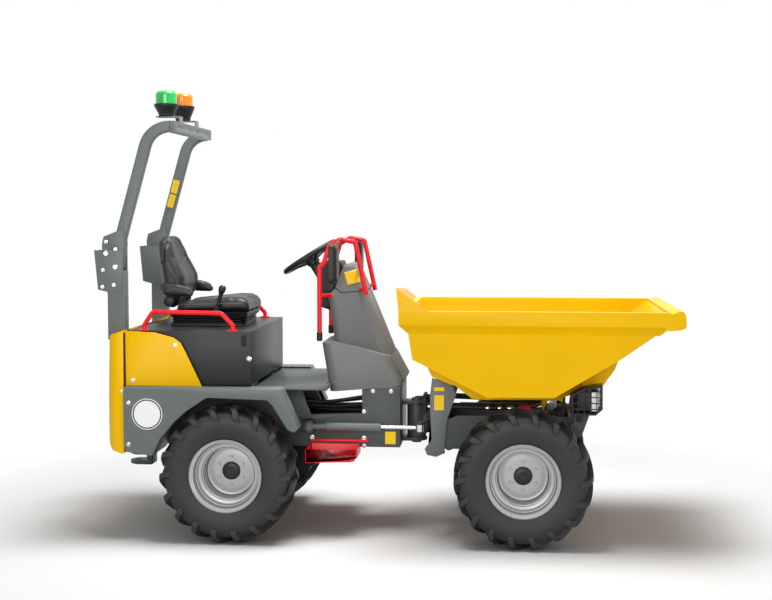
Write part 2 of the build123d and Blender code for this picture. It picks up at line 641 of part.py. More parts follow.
# beacons: (name, y, underside of its dome)
BEACONS = [("beacon_green", -BEACON_Y, 2525.0), ("beacon_amber", BEACON_Y, 2543.0)]
BASE_RADIUS = 72.0
DOME_RADIUS = 62.0
DOME_HEIGHT = 77.0
with BuildPart() as beacon_bases:
    for _, y, top in BEACONS:
        # (radius, height above the plate)
        section_points = [(0, 0.3), (45, 0.3), (48, 20), (BASE_RADIUS, top - BEACON_SEAT - 14),
                          (BASE_RADIUS, top - BEACON_SEAT), (0, top - BEACON_SEAT)]
        with BuildSketch(side_plane(RA + BEACON_X, y)):
            with BuildLine():
                Polyline(*[(r, BEACON_SEAT + h) for r, h in section_points], close=True)
            make_face()
        revolve(axis=Axis((RA + BEACON_X, y, 0), (0, 0, 1)))
finish(beacon_bases.part, "beacon_bases")
for name, y, base in BEACONS:
    with BuildPart() as dome:
        add(rod_between((RA + BEACON_X, y, base), (RA + BEACON_X, y, base + DOME_HEIGHT), DOME_RADIUS))
        fillet(dome.edges().group_by(Axis.Z)[-1], radius=26)
    finish(dome.part, name)

# ---------------------------------------------------------------- seat box cover and seat
with BuildPart() as seat_box:
    add(block(BOX_REAR, BOX_FRONT, -BOX_HALF, BOX_HALF, BOX_BASE, BOX_TOP))
    add(
        block(BOX_REAR - 10, BOX_FRONT - BOX_SHELL, -BOX_HALF + BOX_SHELL, BOX_HALF - BOX_SHELL,
              BOX_BASE - 10, BOX_TOP - BOX_SHELL),
        mode=Mode.SUBTRACT,
    )
    for y in HINGE_EARS:
        add(side_plate(BOX_EAR, RA, y - 0.3 - EAR_WIDTH, y - 0.3))
    add(cross_bar(*COVER_HINGE, COVER_PIN + RUNNING_GAP, -BOX_HALF, BOX_HALF), mode=Mode.SUBTRACT)
finish(seat_box.part, "seat_box")
# sprung base, from the box up: (z, rear x, front x, half width, corner radius)
CUSHION_LOW = BOX_TOP + 88.0
SEAT_BASE_ROWS = [
    [(BOX_TOP, -430, 25, 195, 20), (BOX_TOP + 14, -430, 25, 195, 20)],
    [(BOX_TOP + 13, -405, 5, 170, 40), (BOX_TOP + 32, -418, 18, 182, 40), (BOX_TOP + 58, -405, 5, 170, 40)],
    [(BOX_TOP + 57, -432, 40, 215, 40), (CUSHION_LOW - 0.3, -432, 45, 225, 40)],
]
LEVER_FOOT = (RA - 125, -268.0)  # control lever on a shelf at the seat's right
LEVER_SHELF = BOX_TOP + 66.0
with BuildPart() as seat_base:
    for rows in SEAT_BASE_ROWS:
        add(rounded_stack(rows, RA))
    lever_x, lever_y = LEVER_FOOT
    add(block(lever_x - 25, lever_x + 25, lever_y - 20, -215, LEVER_SHELF, LEVER_SHELF + 8))
    with Locations((lever_x, lever_y, LEVER_SHELF + 36)):
        Cone(20, 8, 56)
    knob = (lever_x + 32, lever_y, LEVER_SHELF + 161)
    add(rod_between((lever_x, lever_y, LEVER_SHELF + 50), knob, 6))
    with Locations(knob):
        Sphere(21)
finish(seat_base.part, "seat_base")
SEAT_HALF = 240.0
BACK_HALF = 230.0
BACK_FRONT = -396.0  # the backrest starts behind the cushion
CUSHION_SIDE = [
    (BACK_FRONT + 0.3, CUSHION_LOW), (48, CUSHION_LOW), (60, CUSHION_LOW + 38), (34, CUSHION_LOW + 80),
    (-62, CUSHION_LOW + 86), (-380, CUSHION_LOW + 58), (BACK_FRONT + 0.3, CUSHION_LOW + 46),
]
finish(side_plate(CUSHION_SIDE, RA, -SEAT_HALF, SEAT_HALF), "seat_cushion")
BACK_SIDE = [
    (BACK_FRONT, CUSHION_LOW + 10), (BACK_FRONT, CUSHION_LOW + 48), (-352, 1400), (-336, 1452), (-389, 1520),
    (-419, 1604), (-433, 1695), (-450, 1750), (-496, 1748), (-518, 1722), (-494, 1573), (-483, 1420),
    (-437, CUSHION_LOW + 10),
]
finish(side_plate(BACK_SIDE, RA, -BACK_HALF, BACK_HALF), "seat_back")
# a short folding pad on each side, on a bracket from the backrest
ARM_PAD = [(-455, 1402), (-440, 1475), (-355, 1469), (-270, 1454), (-240, 1400), (-262, 1384), (-400, 1390)]
ARM_BRACKET = [(-470, 1410), (-458, 1465), (-410, 1462), (-412, 1408)]
# (outline, inner and outer distance from the middle)
ARM_PIECES = [(ARM_PAD, SEAT_HALF + 0.3, SEAT_HALF + 50), (ARM_BRACKET, BACK_HALF + 0.3, SEAT_HALF + 1)]
with BuildPart() as armrests:
    for side in (-1, 1):
        for outline, y_in, y_out in ARM_PIECES:
            y_a, y_b = sorted((side * y_in, side * y_out))
            add(side_plate(outline, RA, y_a, y_b))
finish(armrests.part, "armrests")
HANDLE_FOOT = BOX_TOP + 0.3
HANDLE_ROUTE = [
    (-500, HANDLE_FOOT), (-500, HANDLE_FOOT + 31), (-450, HANDLE_FOOT + 107), (-50, HANDLE_FOOT + 101),
    (18, HANDLE_FOOT + 31), (18, HANDLE_FOOT),
]
with BuildPart() as grab_handles:
    for side in (-1, 1):
        points = [(RA + x, side * (BOX_HALF - 30), z) for x, z in HANDLE_ROUTE]
        with BuildLine() as route:
            FilletPolyline(*points, radius=[20, 30, 30, 20])
        with BuildSketch(Plane(origin=points[0], z_dir=(0, 0, 1))):
            Circle(13)
        sweep(path=route.wires()[0])
        for foot_x, foot_y, foot_z in (points[0], points[-1]):
            add(block(foot_x - 28, foot_x + 28, foot_y - 22, foot_y + 22, foot_z, foot_z + 6))
finish(grab_handles.part, "grab_handles")

# ---------------------------------------------------------------- yoke
# outline of an ear, seen from above, from the steering pin
YOKE_EAR = [
    (65, 0), (65, STEER_Y + 65), (22, STEER_Y + 25), (18, STEER_Y - 15), (42, STEER_Y - 32),
    (60, STEER_Y - 10), (95, STEER_Y + 70), (95, 0),
]
with BuildPart() as yoke:
    with BuildSketch(Plane.XY.offset(YOKE_LOW)):
        with Locations((ARTIC_X, 0)):
            Circle(58)
            Circle(ARTIC_PIN + RUNNING_GAP, mode=Mode.SUBTRACT)
    extrude(amount=YOKE_HIGH - YOKE_LOW)
    add(rod_between((ARTIC_X + 45, 0, OSC_Z), (ARTIC_X + 105, 0, OSC_Z), 75))
    add(rod_between((ARTIC_X + 105, 0, OSC_Z), (ARTIC_X + 155, 0, OSC_Z), OSC_TUBE))
    for low in EAR_HEIGHTS:
        with BuildSketch(Plane.XY.offset(low)):
            with BuildLine():
                Polyline(*[(ARTIC_X + x, y) for x, y in YOKE_EAR], close=True)
            make_face()
            with Locations((STEER_EYE[0], STEER_EYE[1])):
                Circle(12, mode=Mode.SUBTRACT)
        extrude(amount=EAR_THICKNESS)
    with BuildSketch(Plane.XY.offset(YOKE_LOW)):
        with Locations((ARTIC_X, 0)):
            Circle(ARTIC_PIN + RUNNING_GAP)
    extrude(amount=YOKE_HIGH - YOKE_LOW, mode=Mode.SUBTRACT)
finish(yoke.part, "articulation_yoke")

# ---------------------------------------------------------------- front frame
SUPPORT_SIDE = [
    (-541, 822), (-529, 922), (-413, 882), (-389, 824), (-441, 677), (-455, 506), (-452, 482),
    (-505, 458), (-557, 469), (-572, 504), (-531, 558), (-540, 705),
]
FRONT_SIDE = [(-540, 505), (300, 505), (330, 560), (310, 700), (-380, 700), (-440, 677)]
with BuildPart() as front_chassis:
    for outline, y_in, y_out in (
        (SUPPORT_SIDE, FRONT_FRAME_HALF - PLATE, FRONT_FRAME_HALF),
        (FRONT_SIDE, FRONT_FRAME_HALF - 2 * PLATE, FRONT_FRAME_HALF - PLATE),
    ):
        for plate in both_sides(outline, FA, y_in, y_out):
            add(plate)
    inner = FRONT_FRAME_HALF - PLATE
    add(block(ARTIC_X + 110, ARTIC_X + 135, -inner, inner, 505, 800))
    with BuildSketch(Plane.YZ.offset(ARTIC_X + 100)):
        with Locations((0, OSC_Z)):
            Circle(OSC_TUBE + RUNNING_GAP)
    extrude(amount=60, mode=Mode.SUBTRACT)
    add(block(FA + 270, FA + 320, -TIP_LUG_Y - 20, TIP_LUG_Y + 20, 570, 680))
    pivot_arm = [(280, 600), (330, 600), (400, 800), (405, 860), (345, 868), (300, 760)]
    for plate in both_sides(pivot_arm, FA, TIP_LUG_Y, TIP_LUG_Y + 20):
        add(plate)
    add(cross_bar(TIP_BASE[0], TIP_BASE[2], TIP_BASE_PIN, -inner, inner))
    for side in (-1, 1):
        y_a, y_b = sorted((side * TIP_LUG_Y, side * (TIP_LUG_Y + 55)))
        add(cross_bar(TIP_PIVOT[0], TIP_PIVOT[1], 20, y_a, y_b))
finish(front_chassis.part, "front_chassis")

front_beam = axle(FA)
with BuildPart() as front_axle_piece:
    add(front_beam.part)
    for side in (-1, 1):
        mid = side * (FRONT_FRAME_HALF - 1.5 * PLATE)
        add(block(FA - 90, FA + 90, mid - 30, mid + 30, AXLE_Z, 505))
finish(front_axle_piece.part, "front_axle")

# guard of a lamp, seen from the side: a band round a mesh, with a window in front
LAMP_LOW = 756.0
LAMP_SIDE = [
    (265, LAMP_LOW + 112), (266, LAMP_LOW), (399, LAMP_LOW), (437, LAMP_LOW + 34), (436, LAMP_LOW + 168),
    (330, LAMP_LOW + 149),
]
LAMP_IN, LAMP_OUT = 445.0, 570.0
GUARD_BAND = 9.0
GUARD_BARS = [300.0, 335.0, 370.0, 404.0]
GUARD_ROWS = [35.0, 68.0, 101.0, 133.0]  # bars above the guard's lowest edge
BAR = 5.0
WINDOW_ROWS = [52.0, 92.0, 132.0]  # windows in the front, above the lowest edge
WINDOW_STEP = 40.0
WINDOW = 16.0  # half of a window's side
LENS = (376.0, 413.0, LAMP_LOW + 22, LAMP_LOW + 133)  # rear, front, underside and top
with BuildPart() as head_lamps:
    for side in (-1, 1):
        y_a, y_b = sorted((side * LAMP_IN, side * LAMP_OUT))
        with BuildSketch(side_plane(FA, y_b)):
            with BuildLine():
                Polyline(*LAMP_SIDE, close=True)
            make_face()
            offset(amount=-GUARD_BAND, kind=Kind.INTERSECTION, mode=Mode.SUBTRACT)
        extrude(amount=y_b - y_a)
        with BuildSketch(side_plane(FA, LAMP_OUT if side > 0 else BAR - LAMP_OUT)):
            for x in GUARD_BARS:
                with Locations((x, LAMP_LOW + 90)):
                    Rectangle(BAR, 200)
            for height in GUARD_ROWS:
                with Locations((350, LAMP_LOW + height)):
                    Rectangle(200, BAR)
            with BuildSketch(mode=Mode.INTERSECT):
                with BuildLine():
                    Polyline(*LAMP_SIDE, close=True)
                make_face()
        extrude(amount=BAR)
        middle = side * (LAMP_IN + LAMP_OUT) / 2
        for height in WINDOW_ROWS:
            z = LAMP_LOW + height
            for y in (middle - WINDOW_STEP, middle, middle + WINDOW_STEP):
                window = block(FA + 420, FA + 445, y - WINDOW, y + WINDOW, z - WINDOW, z + WINDOW)
                add(window, mode=Mode.SUBTRACT)
        rear, front, low, high = LENS
        y_a, y_b = sorted((side * (LAMP_IN + 12), side * (LAMP_OUT - 22)))
        add(block(FA + 300, FA + rear, y_a, y_b, low + 8, high - 8))
        add(block(FA + rear, FA + front, y_a - 6, y_b + 6, low, high))
        y_a, y_b = sorted((side * LAMP_IN, side * (LAMP_IN + 13)))
        add(side_plate(LAMP_SIDE, FA, y_a, y_b))
        y_a, y_b = sorted((side * (TIP_LUG_Y + 20), side * (LAMP_IN + 2)))
        add(block(FA + 300, FA + 330, y_a, y_b, 700, LAMP_LOW + 30))
finish(head_lamps.part, "head_lamps")

# ---------------------------------------------------------------- skip
WALL_SIDE = [
    (-645, SKIP_TOP - 130), (-623, SKIP_TOP - 274), (-203, 852), (168, 855), (527, SKIP_TOP - 265),
    (762, SKIP_TOP - 100),
]
BELLY_SIDE = [
    (-560, 1040), (-548, 976), (-526, 935), (-424, 893), (-391, 885), (-363, 861), (-296, 812),
    (-206, 805), (175, 810), (455, 897), (480, 934), (517, 987), (560, 1100),
]
# slotted lug for the tipping cylinder's pin, and its slot's middle and size
ROD_LUG_SIDE = [(112, 812), (112, 682), (126, 668), (238, 668), (252, 682), (252, 836), (175, 813)]
ROD_SLOT = (TIP_EYE[0] + 25.5, TIP_EYE[2] - 16.5)
ROD_SLOT_SIZE = (93.0, 82.0)
RIM_REAR = FA - 697.0
with BuildPart() as skip:
    wall = WALL_SIDE + [(800, SKIP_TOP), (-655, SKIP_TOP)]
    add(side_plate(wall, FA, -SKIP_WALL_HALF, SKIP_WALL_HALF))
    add(side_plate(BELLY_SIDE, FA, -BELLY_HALF, BELLY_HALF))
    for outline, half in ((wall, SKIP_WALL_HALF), (BELLY_SIDE, BELLY_HALF)):
        with BuildSketch(side_plane(FA, half - SKIP_SHEET)):
            with BuildLine():
                Polyline(*outline, close=True)
            make_face()
            offset(amount=-SKIP_SHEET, kind=Kind.INTERSECTION)
        extrude(amount=2 * (half - SKIP_SHEET), mode=Mode.SUBTRACT)
    add(
        block(FA - 649, FA + 790, -SKIP_WALL_HALF + SKIP_SHEET, SKIP_WALL_HALF - SKIP_SHEET,
              SKIP_TOP - 20, SKIP_TOP + 20),
        mode=Mode.SUBTRACT,
    )
    for plate in both_sides(ROD_LUG_SIDE, FA, TIP_LUG_IN, TIP_LUG_OUT):
        add(plate)
    with BuildSketch(side_plane(0, TIP_LUG_OUT + 1)):
        with Locations(ROD_SLOT):
            RectangleRounded(*ROD_SLOT_SIZE, 20)
    extrude(amount=2 * TIP_LUG_OUT + 2, mode=Mode.SUBTRACT)
    skip_lug = [(330, SKIP_TOP - 381), (470, SKIP_TOP - 297), (400, 800), (340, 800)]
    for plate in both_sides(skip_lug, FA, TIP_LUG_Y + 25, TIP_LUG_Y + 45):
        add(plate)
    with BuildSketch(side_plane(0, TIP_LUG_Y + 60)):
        with Locations(TIP_PIVOT):
            Circle(20 + RUNNING_GAP)
    extrude(amount=2 * TIP_LUG_Y + 120, mode=Mode.SUBTRACT)
finish(skip.part, "skip")

RIM_LOW = SKIP_TOP - 79.0  # underside of the folded rim's outer face
GUARD_TOP = SKIP_TOP + 130.0  # rear spill guard, at its right end
GUARD_SIDE = [(-711, GUARD_TOP), (-696, GUARD_TOP - 15), (-522, SKIP_TOP), (-697, SKIP_TOP)]
GUARD_PLATE = [(-711, GUARD_TOP), (-704, GUARD_TOP), (-690, SKIP_TOP - 2), (-697, SKIP_TOP - 2)]
# the guard's top edge falls to the rim towards the left: (y, z)
GUARD_EDGE = [(-SKIP_RIM_HALF, GUARD_TOP), (-50, SKIP_TOP + 94), (SKIP_RIM_HALF, SKIP_TOP + 2)]
# rolled pouring lip, seen from the side
LIP_SIDE = [
    (797, SKIP_TOP - 10), (848, SKIP_TOP + 10), (866, SKIP_TOP + 4), (877, SKIP_TOP - 17), (880, SKIP_TOP - 55),
    (879, SKIP_TOP - 80), (872, SKIP_TOP - 86), (845, SKIP_TOP - 95), (759, SKIP_TOP - 101),
]
# the skip's open top, from the side
SKIP_MOUTH = [(-640, RIM_LOW - 107), (750, RIM_LOW - 107), (810, SKIP_TOP + 64), (-650, SKIP_TOP + 64)]
rim_front = FA + 800.0  # behind the lip
rim_mid = (RIM_REAR + rim_front) / 2
FLARE_FRONT = 740.0  # front end of the flare's lower edge, from the front axle
with BuildPart() as skip_rim:
    add(block(RIM_REAR, rim_front, -SKIP_RIM_HALF, SKIP_RIM_HALF, RIM_LOW, SKIP_TOP))
    with BuildSketch(Plane.XY.offset(RIM_LOW)):
        with Locations((rim_mid, 0)):
            Rectangle(rim_front - RIM_REAR, 2 * SKIP_RIM_HALF)
    with BuildSketch(Plane.XY.offset(WALL_SIDE[0][1])):
        with Locations((FA + (WALL_SIDE[0][0] + FLARE_FRONT) / 2, 0)):
            Rectangle(FLARE_FRONT - WALL_SIDE[0][0], 2 * SKIP_WALL_HALF)
    loft()
    add(side_plate(LIP_SIDE, FA, -SKIP_RIM_HALF, SKIP_RIM_HALF))
    add(side_plate(wall, FA, -SKIP_WALL_HALF, SKIP_WALL_HALF), mode=Mode.SUBTRACT)
    add(side_plate(SKIP_MOUTH, FA, -SKIP_WALL_HALF, SKIP_WALL_HALF), mode=Mode.SUBTRACT)
    add(side_plate(GUARD_PLATE, FA, -SKIP_RIM_HALF, SKIP_RIM_HALF))
    with BuildSketch(Plane.YZ.offset(FA - 720)):
        with BuildLine():
            over = GUARD_TOP + 1
            Polyline(*GUARD_EDGE, (SKIP_RIM_HALF + 1, over), (-SKIP_RIM_HALF, over), close=True)
        make_face()
    extrude(amount=60, mode=Mode.SUBTRACT)
    add(side_plate(GUARD_SIDE, FA, -SKIP_RIM_HALF, -SKIP_RIM_HALF + SKIP_SHEET))
finish(skip_rim.part, "skip_rim")

# ---------------------------------------------------------------- cylinders
# each runs in a plane from its base pin to its rod's eye; eyes are rings across that plane


def cylinder(base, eye, across, barrel_radius, rod_radius, neck, bore, rod_start, barrel_end,
             eye_radius, eye_half, pin):
    """Barrel with its base eye, and rod with its own eye, along the line from base to eye.

    neck, bore, rod_start and barrel_end are distances from the base pin along that line.
    """
    base, eye, across = Vector(*base), Vector(*eye), Vector(*across)
    line = (eye - base).normalized()

    def ring(centre):
        return rod_between(tuple(centre - across * eye_half), tuple(centre + across * eye_half), eye_radius)

    def hole(centre):
        reach = max(eye_half, barrel_radius) + 1
        return rod_between(tuple(centre - across * reach), tuple(centre + across * reach), pin)

    with BuildPart() as barrel:
        add(ring(base))
        add(rod_between(tuple(base + line * eye_radius * 0.6), tuple(base + line * neck), eye_half - 2))
        add(rod_between(tuple(base + line * neck), tuple(base + line * barrel_end), barrel_radius))
        add(hole(base), mode=Mode.SUBTRACT)
        mouth = base + line * (barrel_end + 1)
        add(rod_between(tuple(base + line * bore), tuple(mouth), rod_radius + RUNNING_GAP), mode=Mode.SUBTRACT)
    with BuildPart() as rod:
        add(ring(eye))
        add(rod_between(tuple(base + line * rod_start),
                        tuple(eye - line * eye_radius * 0.6), rod_radius))
        add(hole(eye), mode=Mode.SUBTRACT)
    return barrel.part, rod.part


steer_barrel, steer_rod = cylinder(STEER_BASE, STEER_EYE, (0, 0, 1), 24, 11, 108, 88, 248, 430, 28,
                                   EYE_HALF, STEER_PIN)
finish(steer_barrel, "steering_cylinder_barrel")
finish(steer_rod, "steering_cylinder_rod")
tip_barrel, tip_rod = cylinder(TIP_BASE, TIP_EYE, (0, 1, 0), 42, 22, 60, 80, 240, 500, 40, TIP_EYE_HALF,
                               TIP_BASE_PIN + RUNNING_GAP)
finish(tip_barrel, "tip_cylinder_barrel")
with BuildPart() as tip_rod_piece:
    add(tip_rod)
    add(cross_bar(TIP_EYE[0], TIP_EYE[2], TIP_BASE_PIN + 1, -TIP_EYE_HALF, TIP_EYE_HALF))
    add(cross_bar(TIP_EYE[0], TIP_EYE[2], TIP_ROD_PIN, -TIP_LUG_OUT - 8, TIP_LUG_OUT + 8))
finish(tip_rod_piece.part, "tip_cylinder_rod")
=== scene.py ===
"""Looks of the articulated site dumper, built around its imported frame.

Metres. +X forward (towards the skip), +Y to the machine's left, +Z up.
"""

import json
import math
import random

import bmesh
import bpy
import numpy as np
from mathutils import Matrix, Vector
from mathutils.bvhtree import BVHTree


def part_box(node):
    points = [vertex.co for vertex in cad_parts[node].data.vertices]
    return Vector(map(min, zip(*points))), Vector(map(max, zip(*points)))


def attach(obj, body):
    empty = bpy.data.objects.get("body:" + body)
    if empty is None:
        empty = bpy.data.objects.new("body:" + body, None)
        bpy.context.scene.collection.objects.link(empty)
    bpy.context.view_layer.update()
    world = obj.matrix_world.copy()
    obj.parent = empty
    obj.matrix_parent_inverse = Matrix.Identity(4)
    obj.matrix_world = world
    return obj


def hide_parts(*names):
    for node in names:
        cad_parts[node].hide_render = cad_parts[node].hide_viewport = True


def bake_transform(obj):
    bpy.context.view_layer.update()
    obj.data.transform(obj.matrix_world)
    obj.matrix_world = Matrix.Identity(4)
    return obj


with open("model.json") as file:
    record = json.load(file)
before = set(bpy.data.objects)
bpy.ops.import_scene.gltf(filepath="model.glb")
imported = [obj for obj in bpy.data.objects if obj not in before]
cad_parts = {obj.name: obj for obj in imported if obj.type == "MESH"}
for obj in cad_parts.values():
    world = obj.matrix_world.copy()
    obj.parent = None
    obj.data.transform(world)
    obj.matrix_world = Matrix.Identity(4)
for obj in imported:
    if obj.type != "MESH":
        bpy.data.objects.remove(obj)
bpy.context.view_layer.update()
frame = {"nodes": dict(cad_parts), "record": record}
scene = bpy.context.scene
random.seed(7)


def centre_of(node):
    """Middle of a CAD node's box."""
    low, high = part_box(node)
    return [(a + b) / 2 for a, b in zip(low, high)]


REAR = centre_of("rim_rear_left")[0]  # x of the rear axle
FRONT = centre_of("rim_front_left")[0]  # x of the front axle
_, WHEEL_Y, AXLE_Z = centre_of("tyre_rear_left")
BODY_OF = {n: b for b, nodes in frame["record"]["behaviour"]["bodies"].items() for n in nodes}
SLOT_OF = {row["node"]: row["material_slot"] for row in frame["record"]["subparts"]}
SIDES = ((1, "left"), (-1, "right"))  # way along Y, and its name
RIGHT = (0, -1, 0)
UP = (0, 0, 1)


# ---------------------------------------------------------------- materials
def shader(name):
    """A node material with its Principled shader."""
    material = bpy.data.materials.new(name)
    material.use_nodes = True
    tree = material.node_tree
    return material, tree, tree.nodes["Principled BSDF"]


def noise(tree, scale, detail):
    """A noise over the object."""
    where = tree.nodes.new("ShaderNodeTexCoord")
    node = tree.nodes.new("ShaderNodeTexNoise")
    node.inputs["Scale"].default_value = scale
    node.inputs["Detail"].default_value = detail
    tree.links.new(where.outputs["Object"], node.inputs["Vector"])
    return node


def ranged(tree, source, from_min=0.0, from_max=1.0, to_min=0.0, to_max=1.0):
    """Maps a value from one range to another."""
    node = tree.nodes.new("ShaderNodeMapRange")
    limits = {"From Min": from_min, "From Max": from_max, "To Min": to_min, "To Max": to_max}
    for label, value in limits.items():
        node.inputs[label].default_value = value
    tree.links.new(source, node.inputs["Value"])
    return node.outputs["Result"]


WORN = (0.3, 0.3, 0.3, 1)


def surface(name, colour, rough, metallic=0.0, tone=0.06, bump=0.02, bump_scale=400.0, wear=0.0, shine=0.25):
    """Painted, moulded or bare surface: tone varies softly, with grain and a little wear."""
    material, tree, bsdf = shader(name)
    nodes, links = tree.nodes, tree.links
    patches = noise(tree, 3.0, 6.0).outputs["Fac"]
    mix = nodes.new("ShaderNodeMix")
    mix.data_type = "RGBA"
    mix.inputs["A"].default_value = (*[c * (1 - tone) for c in colour], 1)
    mix.inputs["B"].default_value = (*[min(1, c * (1 + tone)) for c in colour], 1)
    links.new(ranged(tree, patches, 0.3, 0.7), mix.inputs["Factor"])
    result = mix.outputs["Result"]
    if wear:
        scratches = noise(tree, 28.0, 12.0)
        scratches.inputs["Roughness"].default_value = 0.75
        worn = nodes.new("ShaderNodeMix")
        worn.data_type = "RGBA"
        worn.inputs["B"].default_value = WORN
        links.new(ranged(tree, scratches.outputs["Fac"], 0.66, 0.74, 0.0, wear), worn.inputs["Factor"])
        links.new(result, worn.inputs["A"])
        result = worn.outputs["Result"]
    links.new(result, bsdf.inputs["Base Color"])
    shade = ranged(tree, patches, 0.0, 1.0, max(0.02, rough - 0.05), min(1.0, rough + 0.05))
    links.new(shade, bsdf.inputs["Roughness"])
    relief = nodes.new("ShaderNodeBump")
    relief.inputs["Strength"].default_value = bump
    relief.inputs["Distance"].default_value = 0.001
    links.new(noise(tree, bump_scale, 3.0).outputs["Fac"], relief.inputs["Height"])
    links.new(relief.outputs["Normal"], bsdf.inputs["Normal"])
    bsdf.inputs["Metallic"].default_value = metallic
    bsdf.inputs["Specular IOR Level"].default_value = shine
    return material


def lens(name, colour):
    """Coloured clear plastic."""
    material, tree, bsdf = shader(name)
    bsdf.inputs["Base Color"].default_value = (*colour, 1)
    bsdf.inputs["Roughness"].default_value = 0.08
    bsdf.inputs["Transmission Weight"].default_value = 0.35
    bsdf.inputs["IOR"].default_value = 1.45
    bsdf.inputs["Coat Weight"].default_value = 0.5
    return material


LOOKS = {
    "yellow_paint": dict(colour=(0.84, 0.485, 0.0), rough=0.32, tone=0.03, bump=0.03, shine=0.12),
    "frame_grey": dict(colour=(0.062, 0.071, 0.072), rough=0.42, bump=0.04, wear=0.15),
    "light_grey": dict(colour=(0.135, 0.158, 0.154), rough=0.40, tone=0.04, bump=0.04),
    "black_paint": dict(colour=(0.020, 0.020, 0.021), rough=0.40, bump=0.06),
    "red_paint": dict(colour=(0.86, 0.008, 0.016), rough=0.30, tone=0.03),
    "rim_silver": dict(colour=(0.44, 0.43, 0.44), rough=0.36, metallic=0.25, tone=0.04),
    "tyre_rubber": dict(colour=(0.017, 0.017, 0.017), rough=0.50, tone=0.15, bump=0.12, bump_scale=180,
                        shine=0.35),
    "console_plastic": dict(colour=(0.170, 0.176, 0.176), rough=0.5, tone=0.03, bump=0.12),
    "black_plastic": dict(colour=(0.013, 0.013, 0.014), rough=0.40, bump=0.12),
    "seat_vinyl": dict(colour=(0.014, 0.014, 0.0145), rough=0.42, bump=0.4, bump_scale=260, shine=0.4),
    "steel": dict(colour=(0.62, 0.62, 0.62), rough=0.22, metallic=1.0, tone=0.05),
    "iron": dict(colour=(0.022, 0.023, 0.024), rough=0.6, bump=0.3, bump_scale=120),
    "label": dict(colour=(0.92, 0.60, 0.01), rough=0.35, tone=0.02, bump=0.01),
    "sign": dict(colour=(0.85, 0.85, 0.85), rough=0.3, tone=0.01, bump=0.01),
    # painted highlight: the piping's pale grey stands in for the light caught along the seat's seams
    "piping_painted_highlight": dict(colour=(0.13, 0.13, 0.135), rough=0.45, tone=0.05, bump=0.1),
    # near black: dark joints of the seat and console, and painted shade in the rim's folds and the seat box's
    # slots
    "seam_and_painted_shade": dict(colour=(0.008, 0.008, 0.009), rough=0.6, bump=0.1),
    "hose": dict(colour=(0.010, 0.010, 0.011), rough=0.45, bump=0.3, bump_scale=700),
}
MATERIALS = {name: surface(name, **look) for name, look in LOOKS.items()}
MATERIALS["beacon_green"] = lens("beacon_green", (0.0, 0.62, 0.10))
MATERIALS["beacon_amber"] = lens("beacon_amber", (1.0, 0.28, 0.0))


# ---------------------------------------------------------------- makers
def dress(mesh, material, angle):
    """One finish over a whole mesh, smooth but for edges sharper than an angle in degrees."""
    mesh.materials.clear()
    mesh.materials.append(MATERIALS[material])
    mesh.polygons.foreach_set("use_smooth", [True] * len(mesh.polygons))
    mesh.set_sharp_from_angle(angle=math.radians(angle))


def place(mesh, name, body, material, smooth=35):
    """Puts a mesh in the scene with its finish, on a body unless that is None."""
    obj = bpy.data.objects.new(name, mesh)
    scene.collection.objects.link(obj)
    dress(mesh, material, smooth)
    if body:
        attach(obj, body)
    return obj


def from_bm(bm, name, body, material, smooth=35):
    """Makes a piece from a bmesh and frees it."""
    bmesh.ops.recalc_face_normals(bm, faces=bm.faces)
    mesh = bpy.data.meshes.new(name)
    bm.to_mesh(mesh)
    bm.free()
    return place(mesh, name, body, material, smooth)


def bake(obj):
    """Applies an object's modifiers."""
    graph = bpy.context.evaluated_depsgraph_get()
    mesh = bpy.data.meshes.new_from_object(obj.evaluated_get(graph))
    old = obj.data
    obj.modifiers.clear()
    obj.data = mesh
    bpy.data.meshes.remove(old)


def soften(node, width):
    """A copy of a CAD node with its edges rounded, in its place."""
    bm = bmesh.new()
    bm.from_mesh(frame["nodes"][node].data)
    bmesh.ops.remove_doubles(bm, verts=bm.verts, dist=1e-5)
    bmesh.ops.dissolve_limit(bm, angle_limit=math.radians(0.6), verts=bm.verts, edges=bm.edges)
    mesh = bpy.data.meshes.new(node + "_soft")
    bm.to_mesh(mesh)
    bm.free()
    obj = bpy.data.objects.new(node + "_shown", mesh)
    scene.collection.objects.link(obj)
    bevel = obj.modifiers.new("edges", "BEVEL")
    bevel.width = width
    bevel.segments = 2
    bevel.limit_method = "ANGLE"
    bevel.angle_limit = math.radians(28)
    bevel.use_clamp_overlap = True
    bake(obj)
    dress(obj.data, SLOT_OF[node], 30)
    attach(obj, BODY_OF[node])
    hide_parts(node)
    return obj


def lathe(bm, profile, centre, axis, start, turns=64, closed=False):
    """Revolves (radius, height) points about an axis; start is the direction of angle zero."""
    axis, start = Vector(axis).normalized(), Vector(start).normalized()
    across = axis.cross(start)
    rings = []
    for k in range(turns):
        a = 2 * math.pi * k / turns
        ray = start * math.cos(a) + across * math.sin(a)
        rings.append([bm.verts.new(Vector(centre) + ray * r + axis * h) for r, h in profile])
    count = len(profile)
    for k in range(turns):
        one, two = rings[k], rings[(k + 1) % turns]
        for j in range(count if closed else count - 1):
            quad = [one[j], one[(j + 1) % count], two[(j + 1) % count], two[j]]
            try:
                bm.faces.new(quad)
            except ValueError:
                pass
    bmesh.ops.remove_doubles(bm, verts=[v for ring in rings for v in ring], dist=1e-6)


def prism(bm, points, origin, x_dir, y_dir, depth):
    """Extrudes a flat outline given in two directions, by depth across them."""
    origin, x_dir, y_dir = Vector(origin), Vector(x_dir), Vector(y_dir)
    lift = x_dir.cross(y_dir).normalized() * depth
    low = [bm.verts.new(origin + x_dir * x + y_dir * y) for x, y in points]
    high = [bm.verts.new(v.co + lift) for v in low]
    bm.faces.new(low)
    bm.faces.new(high[::-1])
    for k in range(len(points)):
        m = (k + 1) % len(points)
        bm.faces.new((low[k], high[k], high[m], low[m]))


